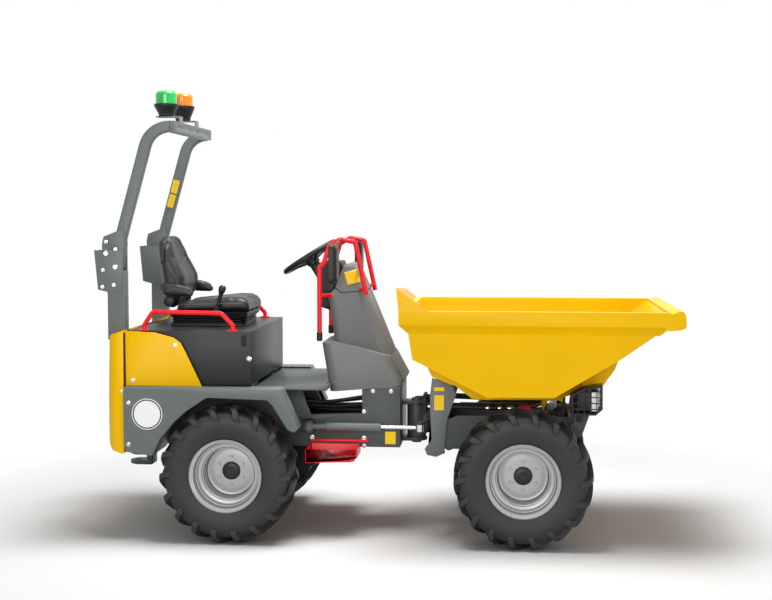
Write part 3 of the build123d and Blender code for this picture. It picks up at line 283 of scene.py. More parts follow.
def tube(name, points, radius, body, material, straight=False):
    """A round tube along points, as one smooth curve or in straight runs."""
    curve = bpy.data.curves.new(name, "CURVE")
    curve.dimensions = "3D"
    curve.bevel_depth = radius
    curve.bevel_resolution = 5
    curve.use_fill_caps = True
    line = curve.splines.new("POLY" if straight else "NURBS")
    line.points.add(len(points) - 1)
    for point, co in zip(line.points, points):
        point.co = (*co, 1)
    if not straight:
        line.order_u = 3
        line.use_endpoint_u = True
        line.resolution_u = 10
    helper = bpy.data.objects.new(name + "_path", curve)
    scene.collection.objects.link(helper)
    graph = bpy.context.evaluated_depsgraph_get()
    mesh = bpy.data.meshes.new_from_object(helper.evaluated_get(graph))
    bpy.data.objects.remove(helper)
    bpy.data.curves.remove(curve)
    return place(mesh, name, body, material, 50)


HEAD_HEIGHT, WASHER_HEIGHT = 0.5, 0.09  # shares of a bolt head's size


def fasteners(name, spots, axis, size, body, material="steel"):
    """Hexagon bolt heads with washers at spots, all along one axis; size is across the corners."""
    bm = bmesh.new()
    axis = Vector(axis).normalized()
    side = axis.orthogonal().normalized()
    washer = [(0, 0), (size * 0.62, 0), (size * 0.62, size * WASHER_HEIGHT), (0, size * WASHER_HEIGHT)]
    top = size * (HEAD_HEIGHT + WASHER_HEIGHT)
    head = [(0, 0), (size / 2, 0), (size / 2, top * 0.82), (size * 0.42, top), (0, top)]
    for spot in spots:
        turn = Matrix.Rotation(random.uniform(0, math.pi), 3, axis)
        lathe(bm, washer, spot, axis, side, 20)
        lathe(bm, head, spot, axis, turn @ side, 6)
    return from_bm(bm, name, body, material, 30)


# ---------------------------------------------------------------- wheels
TYRE_R, TYRE_HALF, BEAD_R = 0.3925, 0.1325, 0.1965
LUG_H = 0.030
LUGS = 18  # a side, as the solid has
LUG_PHASE = 0.30  # of a pitch, where the solid has its first
CARCASS = [
    (BEAD_R, 0.104), (BEAD_R + 0.006, 0.113), (BEAD_R + 0.016, 0.118), (BEAD_R + 0.028, 0.1205),
    (BEAD_R + 0.034, 0.1215), (BEAD_R + 0.060, 0.1275), (BEAD_R + 0.090, 0.1302), (BEAD_R + 0.118, 0.1290),
    (BEAD_R + 0.140, 0.1235), (BEAD_R + 0.156, 0.1120), (TYRE_R - LUG_H - 0.004, 0.090),
    (TYRE_R - LUG_H, 0.055), (TYRE_R - LUG_H + 0.001, 0.0),
]
# lug stations: (radius, offset, lead angle in degrees, height, half width)
LUG_STATIONS = [
    (0.3630, -0.012, 0.0, 0.0295, 0.0165), (0.3630, 0.020, 3.0, 0.0295, 0.0160),
    (0.3625, 0.055, 6.6, 0.0295, 0.0155), (0.3590, 0.088, 10.4, 0.0310, 0.0160),
    (0.3500, 0.1105, 13.2, 0.0300, 0.0170), (0.3350, 0.1225, 15.0, 0.0160, 0.0180),
    (0.3150, 0.1275, 16.4, 0.0045, 0.0190),
]


# across a lug: (share of its half width, whether it is raised)
LUG_SECTION = ((-1.25, False), (-0.86, True), (0.86, True), (1.25, False))
LUG_FOOT = -0.004  # the foot's height, under the carcass


def tyre_mesh(side):
    """A tyre about the origin: its carcass, and two rows of slanted lugs half a pitch apart."""
    bm = bmesh.new()
    profile = CARCASS + [(r, -w) for r, w in CARCASS[-2::-1]]
    lathe(bm, profile, (0, 0, 0), (0, side, 0), UP, 120)
    for half in (1, -1):
        for k in range(LUGS):
            base = 2 * math.pi * (k + (0.5 if half < 0 else 0) + LUG_PHASE) / LUGS
            rings = []
            for j, (r, w, lead, height, half_width) in enumerate(LUG_STATIONS):
                after = LUG_STATIONS[min(j + 1, len(LUG_STATIONS) - 1)]
                before = LUG_STATIONS[max(j - 1, 0)]
                run = Vector((after[0] - before[0], after[1] - before[1])).normalized()
                normal = Vector((run.y, -run.x))
                centre = base + math.radians(lead)
                ring = []
                for share, raised in LUG_SECTION:
                    lift = height if raised else LUG_FOOT
                    radius = r + normal.x * lift
                    offset = w + normal.y * lift
                    angle = centre + share * half_width / r
                    co = (radius * math.sin(angle), half * offset, radius * math.cos(angle))
                    ring.append(bm.verts.new(co))
                rings.append(ring)
            for one, two in zip(rings, rings[1:]):
                for j in range(3):
                    bm.faces.new((one[j], one[j + 1], two[j + 1], two[j]))
            bm.faces.new(rings[0][::-1])
            bm.faces.new(rings[-1])
    return bm


# the rim's face and its back, as (radius, offset)
RIM = [
    (0.2085, 0.128), (0.2100, 0.126), (0.2095, 0.1215), (0.1985, 0.1135), (0.1955, 0.110), (0.1940, 0.098),
    (0.1925, 0.078), (0.1905, 0.073), (0.1790, 0.068), (0.1765, 0.064), (0.1750, 0.050), (0.1715, 0.046),
    (0.1560, 0.042), (0.1530, 0.038), (0.1515, -0.020), (0.1500, -0.040), (0.1440, -0.050),
    (0.1360, -0.0545), (0.1240, -0.0550), (0.1180, -0.0535), (0.0900, -0.0520), (0.0530, -0.0520),
]


RIM_BACK = [
    (0.2085, 0.128), (0.2060, 0.120), (0.1900, 0.108), (0.1880, 0.070), (0.1700, 0.044),
    (0.1480, 0.036), (0.1480, -0.060), (0.1880, -0.092), (0.1900, -0.110), (0.2085, -0.120),
    (0.2085, -0.128), (0.1960, -0.112), (0.1840, -0.090), (0.1440, -0.066), (0.0470, -0.066),
]
# painted shade: dark rings round the rim where its folds fall into shade, as (inner radius, outer radius,
# offset), each just above the sheet
GROOVE_SHADE_RINGS = [(0.1835, 0.1865, 0.0728), (0.1405, 0.1445, -0.0490), (0.1525, 0.1545, 0.0405)]
GROOVE_SHADE_DEPTH = 0.0006
HUB_CAP = [(0.0, -0.030), (0.022, -0.030), (0.024, -0.034), (0.046, -0.036), (0.050, -0.039), (0.052, -0.046),
           (0.053, -0.060)]
VALVE = [(0, 0), (0.0055, 0), (0.0055, 0.010), (0.0035, 0.012), (0.0035, 0.030), (0, 0.030)]
NUTS, NUT_CIRCLE, NUT_SEAT = 6, 0.080, -0.0525


def wheel(corner, x, side):
    """One wheel's tyre, rim, hub cap, rings of painted shade in the rim's folds, valve and nuts."""
    body = "wheel_" + corner
    hub = Vector((x, side * WHEEL_Y, AXLE_Z))
    axis = (0, side, 0)
    bm = tyre_mesh(side)
    bmesh.ops.translate(bm, verts=bm.verts, vec=hub)
    tyre = from_bm(bm, "tyre_shown_" + corner, body, "tyre_rubber", smooth=32)
    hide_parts("tyre_" + corner)
    bm = bmesh.new()
    lathe(bm, RIM, hub, axis, UP, 96)
    lathe(bm, RIM_BACK, hub, axis, UP, 96)
    rim = from_bm(bm, "rim_shown_" + corner, body, "rim_silver", smooth=28)
    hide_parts("rim_" + corner)
    bm = bmesh.new()
    lathe(bm, HUB_CAP, hub, axis, UP, 48)
    from_bm(bm, "hub_cap_" + corner, body, "black_paint")
    # rings of painted shade laid in the rim's folds
    bm = bmesh.new()
    for inner, outer, offset in GROOVE_SHADE_RINGS:
        low = offset - GROOVE_SHADE_DEPTH
        line = [(inner, offset), (outer, offset), (outer, low), (inner, low)]
        lathe(bm, line, hub, axis, UP, 96, closed=True)
    from_bm(bm, "rim_groove_shade_" + corner, body, "seam_and_painted_shade")
    # the valve stands in the well at the top
    bm = bmesh.new()
    lathe(bm, VALVE, hub + Vector((0, side * -0.050, 0.139)), (0, side, 0.35), (1, 0, 0), 16)
    from_bm(bm, "valve_" + corner, body, "black_plastic")
    spots = []
    for k in range(NUTS):
        a = math.radians(360 / NUTS * k)
        spots.append(hub + Vector((NUT_CIRCLE * math.sin(a), side * NUT_SEAT, NUT_CIRCLE * math.cos(a))))
    fasteners("wheel_nuts_" + corner, spots, axis, 0.017, body, "rim_silver")


for end, x in (("rear", REAR), ("front", FRONT)):
    for side, tag in SIDES:
        wheel(f"{end}_{tag}", x, side)

# ---------------------------------------------------------------- carried-over CAD nodes
# how far each node's edges are rounded
SOFT = {
    "rear_hood": 0.012, "side_panels": 0.004, "rear_fenders": 0.006, "seat_box": 0.006, "skip": 0.008,
    "skip_rim": 0.006, "console": 0.004, "console_skirt": 0.004, "rear_chassis": 0.003,
    "front_chassis": 0.004, "steps": 0.004, "mirrors": 0.008, "head_lamps": 0.003,
    "roll_bar_posts": 0.006, "floor_plate": 0.003,
    "articulation_yoke": 0.004, "rear_hitch": 0.004, "lock_bar": 0.002, "seat_base": 0.003,
    "engine_block": 0.01, "beacon_bases": 0.004, "roll_bar_hoop": 0.003, "steering_column": 0.003,
}
shown = {node: soften(node, width) for node, width in SOFT.items()}
for node, obj in frame["nodes"].items():
    dress(obj.data, SLOT_OF[node], 30)


def repaint(node, material, test):
    """Gives another material to the faces of a node whose middle passes a test."""
    obj = shown.get(node) or frame["nodes"][node]
    obj.data.materials.append(MATERIALS[material])
    index = len(obj.data.materials) - 1
    for polygon in obj.data.polygons:
        if test(polygon.center):
            polygon.material_index = index


LAMP_REAR, LAMP_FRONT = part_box("head_lamps")
LENS_REAR = FRONT + 0.377
# the lamps: dark guards and brackets, a dark panel in the guard's side, and a pale lens
repaint("head_lamps", "black_paint", lambda p: abs(p.y) < LAMP_FRONT.y - 0.010 or p.z < 0.754)
repaint("head_lamps", "black_plastic", lambda p: LAMP_REAR.z + 0.09 < p.z < LAMP_FRONT.z - 0.03
        and abs(p.y) > LAMP_FRONT.y - 0.006 and FRONT + 0.285 < p.x < FRONT + 0.425)
repaint("head_lamps", "sign", lambda p: p.x > LENS_REAR and 0.452 < abs(p.y) < 0.5545
        and 0.779 < p.z < 0.888 and p.x < FRONT + 0.4135)
# the floor, the outer plates of the front frame, and the lugs under the skip
repaint("floor_plate", "frame_grey", lambda p: True)
repaint("front_chassis", "light_grey", lambda p: abs(p.y) > 0.284 and p.x < 0.46)
repaint("skip", "iron", lambda p: p.z < 0.76 and abs(p.y) < 0.06)


# ---------------------------------------------------------------- seat
def spow(value, power):
    """A power that keeps its value's sign."""
    return math.copysign(abs(value) ** power, value)


def skin(bm, rings):
    """Joins closed rings of points one after another and closes both ends."""
    made = [[bm.verts.new(co) for co in ring] for ring in rings]
    count = len(made[0])
    for one, two in zip(made, made[1:]):
        for j in range(count):
            bm.faces.new((one[j], one[(j + 1) % count], two[(j + 1) % count], two[j]))
    bm.faces.new(made[0][::-1])
    bm.faces.new(made[-1])


def between(stations, at):
    """Value of every column of a table, on straight lines between rows, at a place on its first column."""
    for one, two in zip(stations, stations[1:]):
        if at <= two[0]:
            t = max(0.0, (at - one[0]) / (two[0] - one[0]))
            return [a + (b - a) * t for a, b in zip(one, two)]
    return list(stations[-1])


CLOTH_STEPS = 20
CLOTH_PRESSURE = 4.0


def puff(obj, voxel, cap):
    """Blows a closed shell up as stuffed cloth; no point moves further than cap."""
    remesh = obj.modifiers.new("remesh", "REMESH")
    remesh.mode = "VOXEL"
    remesh.voxel_size = voxel
    bake(obj)
    rest = [v.co.copy() for v in obj.data.vertices]
    cloth = obj.modifiers.new("cloth", "CLOTH")
    cloth.settings.use_pressure = True
    cloth.settings.uniform_pressure_force = CLOTH_PRESSURE
    cloth.settings.effector_weights.gravity = 0.0
    cloth.settings.quality = 4
    cloth.point_cache.frame_end = CLOTH_STEPS
    for step in range(1, CLOTH_STEPS + 1):
        scene.frame_set(step)
    bake(obj)
    for vertex, start in zip(obj.data.vertices, rest):
        move = vertex.co - start
        if move.length > cap:
            vertex.co = start + move * (cap / move.length)
    scene.frame_set(1)
    smooth = obj.modifiers.new("smooth", "SMOOTH")
    smooth.iterations = 4
    divide = obj.modifiers.new("divide", "SUBSURF")
    divide.levels = 1
    divide.render_levels = 1
    bake(obj)


def sew(obj, line, depth, width, side, plane=(1, 2)):
    """Presses a seam into a cushion along a line seen in one plane, where side is true of a point."""
    mesh = obj.data
    places = np.empty(len(mesh.vertices) * 3)
    mesh.vertices.foreach_get("co", places)
    places = places.reshape(-1, 3)
    normals = np.empty(len(mesh.vertices) * 3)
    mesh.vertex_normals.foreach_get("vector", normals)
    seen = places[:, plane]
    nearest = np.full(len(places), 1.0)
    for one, two in zip(line, line[1:]):
        one, run = np.array(one), np.array(two) - np.array(one)
        t = np.clip((seen - one) @ run / (run @ run), 0, 1)
        nearest = np.minimum(nearest, np.linalg.norm(seen - one - t[:, None] * run, axis=1))
    press = depth * np.exp(-(nearest / width) ** 2)
    press = press * [side(Vector(p)) if n < 3 * width else 0 for p, n in zip(places, nearest)]
    mesh.vertices.foreach_set("co", (places - normals.reshape(-1, 3) * press[:, None]).ravel())
    mesh.update()


SINK = 0.0005


def laid(target, rays):
    """Points where rays meet a piece, just under its skin."""
    tree = BVHTree.FromObject(target, bpy.context.evaluated_depsgraph_get())
    found = []
    for origin, direction in rays:
        hit, normal, _, _ = tree.ray_cast(Vector(origin), Vector(direction).normalized())
        if hit:
            found.append(hit - normal * SINK)
    return found


def along(line, count):
    """Evenly spread points on a polyline."""
    line = [Vector(p) for p in line]
    lengths = [(b - a).length for a, b in zip(line, line[1:])]
    total = sum(lengths)
    points = []
    for k in range(count):
        left = total * k / (count - 1)
        for (a, b), length in zip(zip(line, line[1:]), lengths):
            if left <= length + 1e-9:
                points.append(a.lerp(b, left / length))
                break
            left -= length
    return points


def rounded_ring(x_low, x_high, half, radius, z, steps=6):
    """A level rounded rectangle of points."""
    ring = []
    corners = ((x_high - radius, half - radius), (x_low + radius, half - radius),
               (x_low + radius, radius - half), (x_high - radius, radius - half))
    for corner, (x, y) in enumerate(corners):
        for k in range(steps + 1):
            a = math.pi / 2 * (corner + k / steps)
            ring.append(Vector((x + radius * math.cos(a), y + radius * math.sin(a), z)))
    return ring


PAD_LOW, PAD_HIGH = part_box("seat_cushion")
BACK_LOW, BACK_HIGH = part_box("seat_back")
PAD_HALF = PAD_HIGH.y - 0.004
# along the cushion: (distance from its rear, top above the underside, half width as a share)
PAD_ROWS = [
    (0.004, 0.030, 0.86), (0.018, 0.046, 0.95), (0.060, 0.056, 0.99), (0.200, 0.070, 1.0),
    (0.330, 0.084, 1.0), (0.400, 0.084, 0.985), (0.432, 0.074, 0.95), (0.450, 0.056, 0.88),
    (0.454, 0.036, 0.80),
]
rings = []
for reach, top, share in PAD_ROWS:
    ring = []
    for k in range(48):
        a = 2 * math.pi * k / 48
        half_high = (top - 0.003) / 2
        y = PAD_HALF * share * spow(math.cos(a), 0.36)
        z = PAD_LOW.z + 0.003 + half_high + half_high * spow(math.sin(a), 0.45)
        if math.sin(a) > 0:
            z -= 0.010 * math.exp(-(y / 0.12) ** 2)
        ring.append(Vector((PAD_LOW.x + reach, y, z)))
    rings.append(ring)
bm = bmesh.new()
skin(bm, rings)
cushion = from_bm(bm, "seat_cushion_shown", "engine_cover", "seat_vinyl")
puff(cushion, 0.006, 0.009)

# up the backrest: (height, front, rear, half width)
BACK_ROWS = [
    (1.306, -1.300, -1.330, 0.150), (1.320, -1.288, -1.345, 0.190), (1.350, -1.276, -1.356, 0.212),
    (1.400, -1.246, -1.366, 0.222), (1.452, -1.228, -1.372, 0.226), (1.500, -1.232, -1.376, 0.226),
    (1.550, -1.258, -1.380, 0.224), (1.610, -1.290, -1.386, 0.220), (1.670, -1.312, -1.394, 0.204),
    (1.715, -1.326, -1.400, 0.176), (1.738, -1.338, -1.396, 0.140), (1.746, -1.352, -1.384, 0.095),
]
rings = []
for z, front, rear, half in BACK_ROWS:
    ring = []
    middle, deep = (front + rear) / 2, (front - rear) / 2 - 0.003
    for k in range(56):
        a = 2 * math.pi * k / 56
        y = half * spow(math.cos(a), 0.42)
        x = middle + deep * spow(math.sin(a), 0.55)
        if math.sin(a) > 0:
            x -= min(0.020, deep * 0.6) * math.exp(-(y / (half * 0.55)) ** 4)
        ring.append(Vector((x, y, z)))
    rings.append(ring)
bm = bmesh.new()
skin(bm, rings)
backrest = from_bm(bm, "seat_back_shown", "engine_cover", "seat_vinyl")
puff(backrest, 0.006, 0.008)


def faces_front(co):
    return co.x > between(BACK_ROWS, co.z)[1] - 0.045


def faces_side(co):
    return abs(co.y) > between(BACK_ROWS, co.z)[3] - 0.03


# seams of the backrest's front, as (y, z): round the centre panel, and down beside the small of the back
PANEL_SEAM = [(0.118, 1.742), (0.135, 1.680), (0.118, 1.620), (0.070, 1.582), (0.0, 1.572), (-0.070, 1.582),
              (-0.118, 1.620), (-0.135, 1.680), (-0.118, 1.742)]
BOLSTER_SEAM = [(0.118, 1.620), (0.128, 1.540), (0.132, 1.460), (0.120, 1.380), (0.112, 1.330)]
sew(backrest, PANEL_SEAM, 0.007, 0.007, side=faces_front)
for way, _ in SIDES:
    sew(backrest, [(way * y, z) for y, z in BOLSTER_SEAM], 0.007, 0.007, side=faces_front)
# the side wings are pads of their own, seen from the side as (x, z)
WING_SEAM = [(-1.330, 1.722), (-1.352, 1.640), (-1.345, 1.590), (-1.372, 1.580)]
sew(backrest, WING_SEAM, 0.008, 0.007, plane=(0, 2), side=faces_side)
# seams of the cushion's top, as (x, y): one down each side and one across the front
PAD_SEAMS = [[(-1.235, 0.105), (-0.905, 0.125)], [(-1.235, -0.105), (-0.905, -0.125)],
             [(-0.905, 0.125), (-0.905, -0.125)]]
for line in PAD_SEAMS:
    sew(cushion, line, 0.006, 0.007, plane=(0, 1), side=lambda co: co.z > PAD_LOW.z + 0.040)
for obj, name, fill in ((cushion, "seat_cushion", 0.8), (backrest, "seat_back", 0.85)):
    obj.data.polygons.foreach_set("use_smooth", [True] * len(obj.data.polygons))
    obj.data.set_sharp_from_angle(angle=math.radians(80))
    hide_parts(name)

# piping round the backrest's centre panel, its pale grey a painted highlight
rays = [((BACK_HIGH.x + 0.2, p.x, p.y), (-1, 0, 0)) for p in along(PANEL_SEAM, 60)]
tube("piping_back_panel", laid(backrest, rays), 0.0022, "engine_cover", "piping_painted_highlight")
for way, tag in SIDES:
    line = along([(way * y, z) for y, z in BOLSTER_SEAM], 30)
    rays = [((BACK_HIGH.x + 0.2, p.x, p.y), (-1, 0, 0)) for p in line]
    tube("piping_back_" + tag, laid(backrest, rays), 0.0016, "engine_cover", "seam_and_painted_shade")
    line = along(WING_SEAM, 24)
    rays = [((p.x, way * 0.4, p.y), (0, -way, 0)) for p in line]
    tube("piping_wing_" + tag, laid(backrest, rays), 0.0016, "engine_cover", "seam_and_painted_shade")
# piping round the cushion, its pale grey a painted highlight
rays = []
for k in range(97):
    a = 2 * math.pi * k / 96
    out = Vector((math.cos(a), math.sin(a), 0))
    middle = Vector(((PAD_LOW.x + PAD_HIGH.x) / 2, 0, 0))
    height = PAD_LOW.z + 0.040 + 0.016 * (1 + math.cos(a)) / 2
    rays.append((middle + out * 0.5 + Vector((0, 0, height)), -out))
tube("piping_cushion", laid(cushion, rays), 0.0022, "engine_cover", "piping_painted_highlight")

# bellows of the sprung base, between the base plate and the pan
BELLOWS_LOW, BELLOWS_HIGH, FOLDS = 1.2185, 1.263, 3
FOLD_RINGS = 6 * FOLDS
rings = []
for k in range(FOLD_RINGS + 1):
    t = k / FOLD_RINGS
    out = 0.012 * abs(math.sin(math.pi * FOLDS * t)) ** 0.6
    z = BELLOWS_LOW + (BELLOWS_HIGH - BELLOWS_LOW) * t
    rings.append(rounded_ring(-1.306 - out, -0.868 + out, 0.184 + out, 0.05, z))
bm = bmesh.new()
skin(bm, rings)
from_bm(bm, "seat_bellows", "engine_cover", "black_plastic", smooth=50)

# armrests: short pads, as (x, z)
ARMREST = [(-1.343, 1.400), (-1.328, 1.462), (-1.250, 1.458), (-1.180, 1.440), (-1.152, 1.402),
           (-1.168, 1.386), (-1.288, 1.391)]
PIVOT = [(0, -0.012), (0.026, -0.012), (0.030, -0.006), (0.030, 0.010), (0.022, 0.016), (0, 0.016)]
KNOB = [(0, 0), (0.030, 0), (0.032, 0.006), (0.028, 0.018), (0.012, 0.022), (0, 0.022)]
for way, tag in SIDES:
    bm = bmesh.new()
    origin = (0, 0.2445, 0) if way > 0 else (0, -0.286, 0)
    prism(bm, ARMREST, origin, (1, 0, 0), UP, -0.0415)
    pad = from_bm(bm, "armrest_pad_" + tag, "engine_cover", "seat_vinyl")
    bevel = pad.modifiers.new("round", "BEVEL")
    bevel.width = 0.012
    bevel.segments = 3
    bake(pad)
    puff(pad, 0.005, 0.005)
    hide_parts("armrests")
    # bracket that carries the pad from the backrest
    bm = bmesh.new()
    lathe(bm, PIVOT, (-1.328, way * 0.232, 1.435), (0, way, 0), (1, 0, 0), 32)
    from_bm(bm, "armrest_pivot_" + tag, "engine_cover", "black_plastic")
    # recliner knob low on the side
    bm = bmesh.new()
    lathe(bm, KNOB, (-1.318, way * 0.212, 1.352), (0, way, 0), (1, 0, 0), 32)
    from_bm(bm, "recliner_" + tag, "engine_cover", "black_plastic")


# ---------------------------------------------------------------- labels and sign
PLATE_THICK, PLATE_SUNK = 0.0008, 0.0004


def plate(name, middle, out, up, width, height, body, material, corner=0.004):
    """A thin plate with rounded corners, flat on a surface whose outward direction is given."""
    out, up = Vector(out).normalized(), Vector(up).normalized()
    side = up.cross(out)
    bm = bmesh.new()
    loop = []
    for c, (x, y) in enumerate(((1, 1), (-1, 1), (-1, -1), (1, -1))):
        for k in range(5):
            a = math.pi / 2 * (c + k / 4)
            loop.append((x * (width / 2 - corner) + corner * math.cos(a),
                         y * (height / 2 - corner) + corner * math.sin(a)))
    prism(bm, loop, Vector(middle) - out * PLATE_SUNK, side, up, PLATE_THICK + PLATE_SUNK)
    return from_bm(bm, name, body, material)


LABELS = [  # (name, middle, width, height, body)
    ("label_front_frame", (0.304, -0.300, 0.778), 0.056, 0.088, "front_frame"),
    ("label_front_frame_small", (0.304, -0.300, 0.857), 0.060, 0.022, "front_frame"),
    ("label_rear_frame", (0.014, -0.240, 0.556), 0.062, 0.074, "rear_frame"),
]
for name, middle, width, height, body in LABELS:
    plate(name, middle, RIGHT, UP, width, height, body, "label")
SIGN = (-1.345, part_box("rear_fenders")[0].y, 0.736)
bm = bmesh.new()
lathe(bm, [(0, 0), (0.089, 0), (0.089, 0.0012), (0, 0.0012)], SIGN, RIGHT, UP, 64)
from_bm(bm, "sign_disc", "rear_frame", "sign")
bm = bmesh.new()
lathe(bm, [(0.077, 0.0010), (0.084, 0.0010), (0.084, 0.0016), (0.077, 0.0016)],
      SIGN, RIGHT, UP, 64, closed=True)
from_bm(bm, "sign_ring", "rear_frame", "black_paint")


def sticker(name, target, corners, toward, body, material, across=10):
    """A thin label laid on a curved surface: its corners are moved along a direction until they meet it."""
    toward = Vector(toward).normalized()
    tree = BVHTree.FromObject(target, bpy.context.evaluated_depsgraph_get())
    a, b, c, d = [Vector(p) for p in corners]
    bm = bmesh.new()
    rows = []
    for i in range(across + 1):
        row = []
        for j in range(across + 1):
            u, v = i / across, j / across
            spot = a.lerp(b, u).lerp(d.lerp(c, u), v)
            hit, normal, _, _ = tree.ray_cast(spot - toward * 0.3, toward)
            row.append(bm.verts.new((hit or spot) - toward * 0.0012))
        rows.append(row)
    for one, two in zip(rows, rows[1:]):
        for j in range(across):
            bm.faces.new((one[j], one[j + 1], two[j + 1], two[j]))
    obj = from_bm(bm, name, body, material)
    thick = obj.modifiers.new("thick", "SOLIDIFY")
    thick.thickness = PLATE_THICK
    bake(obj)


sticker("label_console", shown["console"],
        [(-0.266, -0.2, 1.530), (-0.190, -0.2, 1.548), (-0.170, -0.2, 1.472), (-0.246, -0.2, 1.454)],
        (0, 1, 0), "rear_frame", "label")
LEG_FROM, LEG_TO = Vector((-1.566, 0, 1.596)), Vector((-1.348, 0, 2.375))
leg = (LEG_TO - LEG_FROM).normalized()
for k, reach in enumerate((0.375, 0.470)):
    spot = LEG_FROM + leg * reach + Vector((0, 0.4370, 0))
    plate(f"label_roll_bar_{k + 1}", spot, RIGHT, leg, 0.042, 0.086, "roll_bar", "label")


# ---------------------------------------------------------------- console, seat box, steps and rails
def cut_line(node, name, planes, radius, body, material):
    """A thin dark seam where planes cross a piece; each plane has the x range where it counts."""
    bm = bmesh.new()
    for origin, normal, low, high in planes:
        work = bmesh.new()
        work.from_mesh(shown[node].data)
        geometry = work.verts[:] + work.edges[:] + work.faces[:]
        cut = bmesh.ops.bisect_plane(work, geom=geometry, plane_co=Vector(origin), plane_no=Vector(normal))
        for edge in (e for e in cut["geom_cut"] if isinstance(e, bmesh.types.BMEdge)):
            a, b = sorted((v.co.copy() for v in edge.verts), key=lambda co: co.x)
            if b.x <= low or a.x >= high:
                continue
            a, b = (a.lerp(b, max(0.0, (low - a.x) / (b.x - a.x + 1e-9))),
                    a.lerp(b, min(1.0, (high - a.x) / (b.x - a.x + 1e-9))))
            if (b - a).length > 1e-5:
                run = (b - a).normalized()
                reach = (b - a).length + radius / 2
                lathe(bm, [(radius, -radius / 2), (radius, reach)], a, run, run.orthogonal(), 6)
        work.free()
    return from_bm(bm, name, body, material)


# under the console's cap: its rear slope, then its long edge
CAP_PLANES = [((-0.279, 0, 1.411), (0.029, 0, 0.045), -0.345, -0.279),
              ((-0.279, 0, 1.411), (-0.012, 0, 0.139), -0.279, -0.05)]
cut_line("console", "console_seam", CAP_PLANES, 0.0026, "rear_frame", "seam_and_painted_shade")

# slot in each side of the seat box, drawn as a flat dark plate of painted shade, and the lock on its right
BOX_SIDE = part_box("seat_box")[1].y
for way, tag in SIDES:
    spot = (-0.800, way * BOX_SIDE, 1.150)
    # painted shade: the dark plate stands for the shaded inside of the slot
    plate("box_slot_shade_" + tag, spot, (0, way, 0), UP, 0.030, 0.066, "engine_cover", "seam_and_painted_shade",
          corner=0.008)
bm = bmesh.new()
lathe(bm, [(0, 0), (0.014, 0), (0.015, 0.003), (0.009, 0.006), (0.007, 0.012), (0, 0.012)],
      (-0.770, -BOX_SIDE, 1.050), RIGHT, UP, 24)
from_bm(bm, "box_lock", "engine_cover", "steel")

# grip and boot of the control lever, over the plain bar of the solid
LEVER_LOW, LEVER_TOP = Vector((-1.013, -0.268, 1.321)), Vector((-0.981, -0.268, 1.432))
up_lever = (LEVER_TOP - LEVER_LOW).normalized()
GRIP = [(0, 0.040), (0.011, 0.040), (0.013, 0.050), (0.012, 0.078), (0.016, 0.092), (0.0205, 0.104),
        (0.0215, 0.118), (0.0195, 0.130), (0.012, 0.1365), (0, 0.1370)]
bm = bmesh.new()
lathe(bm, GRIP, LEVER_LOW, up_lever, (0, 1, 0), 32)
BOOT_FOLDS = 4
boot = [(0.026, -0.042)]
for k in range(BOOT_FOLDS):
    r = 0.024 - 0.003 * k
    boot += [(r, -0.036 + 0.018 * k), (r - 0.006, -0.027 + 0.018 * k)]
lathe(bm, boot + [(0.008, 0.040)], LEVER_LOW, up_lever, (0, 1, 0), 32)
from_bm(bm, "lever_grip", "engine_cover", "black_plastic")

# front plate of each step, with its raised ends
STEP_LOW, STEP_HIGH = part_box("steps")
for way, tag in SIDES:
    x_a, x_b, z_a, z_b = STEP_LOW.x, STEP_HIGH.x, STEP_LOW.z, STEP_HIGH.z
    outline = [(x_a, z_a + 0.002), (x_b - 0.040, z_a + 0.010), (x_b - 0.012, z_a + 0.016), (x_b - 0.006, z_b),
               (x_b - 0.026, z_b - 0.010), (x_a + 0.026, z_b - 0.012), (x_a + 0.014, z_b), (x_a, z_b - 0.012)]
    bm = bmesh.new()
    prism(bm, outline, (0, STEP_HIGH.y if way > 0 else -STEP_HIGH.y + 0.004, 0), (1, 0, 0), UP, 0.004)
    from_bm(bm, "step_face_" + tag, "rear_frame", "red_paint")
# dark sleeve at the foot of each handrail
RAIL_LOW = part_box("handrails")[0]
for way, tag in SIDES:
    foot = (RAIL_LOW.x + 0.014, way * 0.250, RAIL_LOW.z)
    bm = bmesh.new()
    lathe(bm, [(0.0142, 0.001), (0.0170, 0.002), (0.0170, 0.050), (0.0142, 0.052)], foot, UP, (1, 0, 0), 32)
    from_bm(bm, "rail_sleeve_" + tag, "rear_frame", "black_plastic")
frame["nodes"]["steering_cylinder_barrel"].data.materials[0] = MATERIALS["light_grey"]

# ---------------------------------------------------------------- bolts
BOLTS = [  # (name, spots as (x, z), y, size across the corners), all on the rear frame
    ("bolts_roll_bar", [(-1.602, 1.648), (-1.548, 1.571)], 0.5105, 0.034),
    ("bolts_roll_bar_small",
     [(-1.601, 1.716), (-1.547, 1.673), (-1.622, 1.553), (-1.559, 1.467), (-1.626, 1.456)], 0.5225, 0.018),
    ("bolts_tower", [(-0.089, 0.833), (0.018, 0.834), (-0.142, 0.711)], 0.240, 0.020),
    ("bolts_lock_bar", [(-0.142, 0.553), (-0.142, 0.505), (-0.452, 0.553)], 0.240, 0.022),
    ("bolts_side_panel", [(-1.193, 1.127), (-1.442, 0.923)], 0.560, 0.020),
    ("bolts_hood", [(-1.495, 0.864), (-1.478, 0.801)], 0.600, 0.016),
    ("bolts_fender", [(-1.452, 0.800), (-1.455, 0.560)], 0.620, 0.020),
]
for name, spots, y, size in BOLTS:
    for way, tag in SIDES:
        fasteners(f"{name}_{tag}", [(x, way * y, z) for x, z in spots], (0, way, 0), size, "rear_frame")


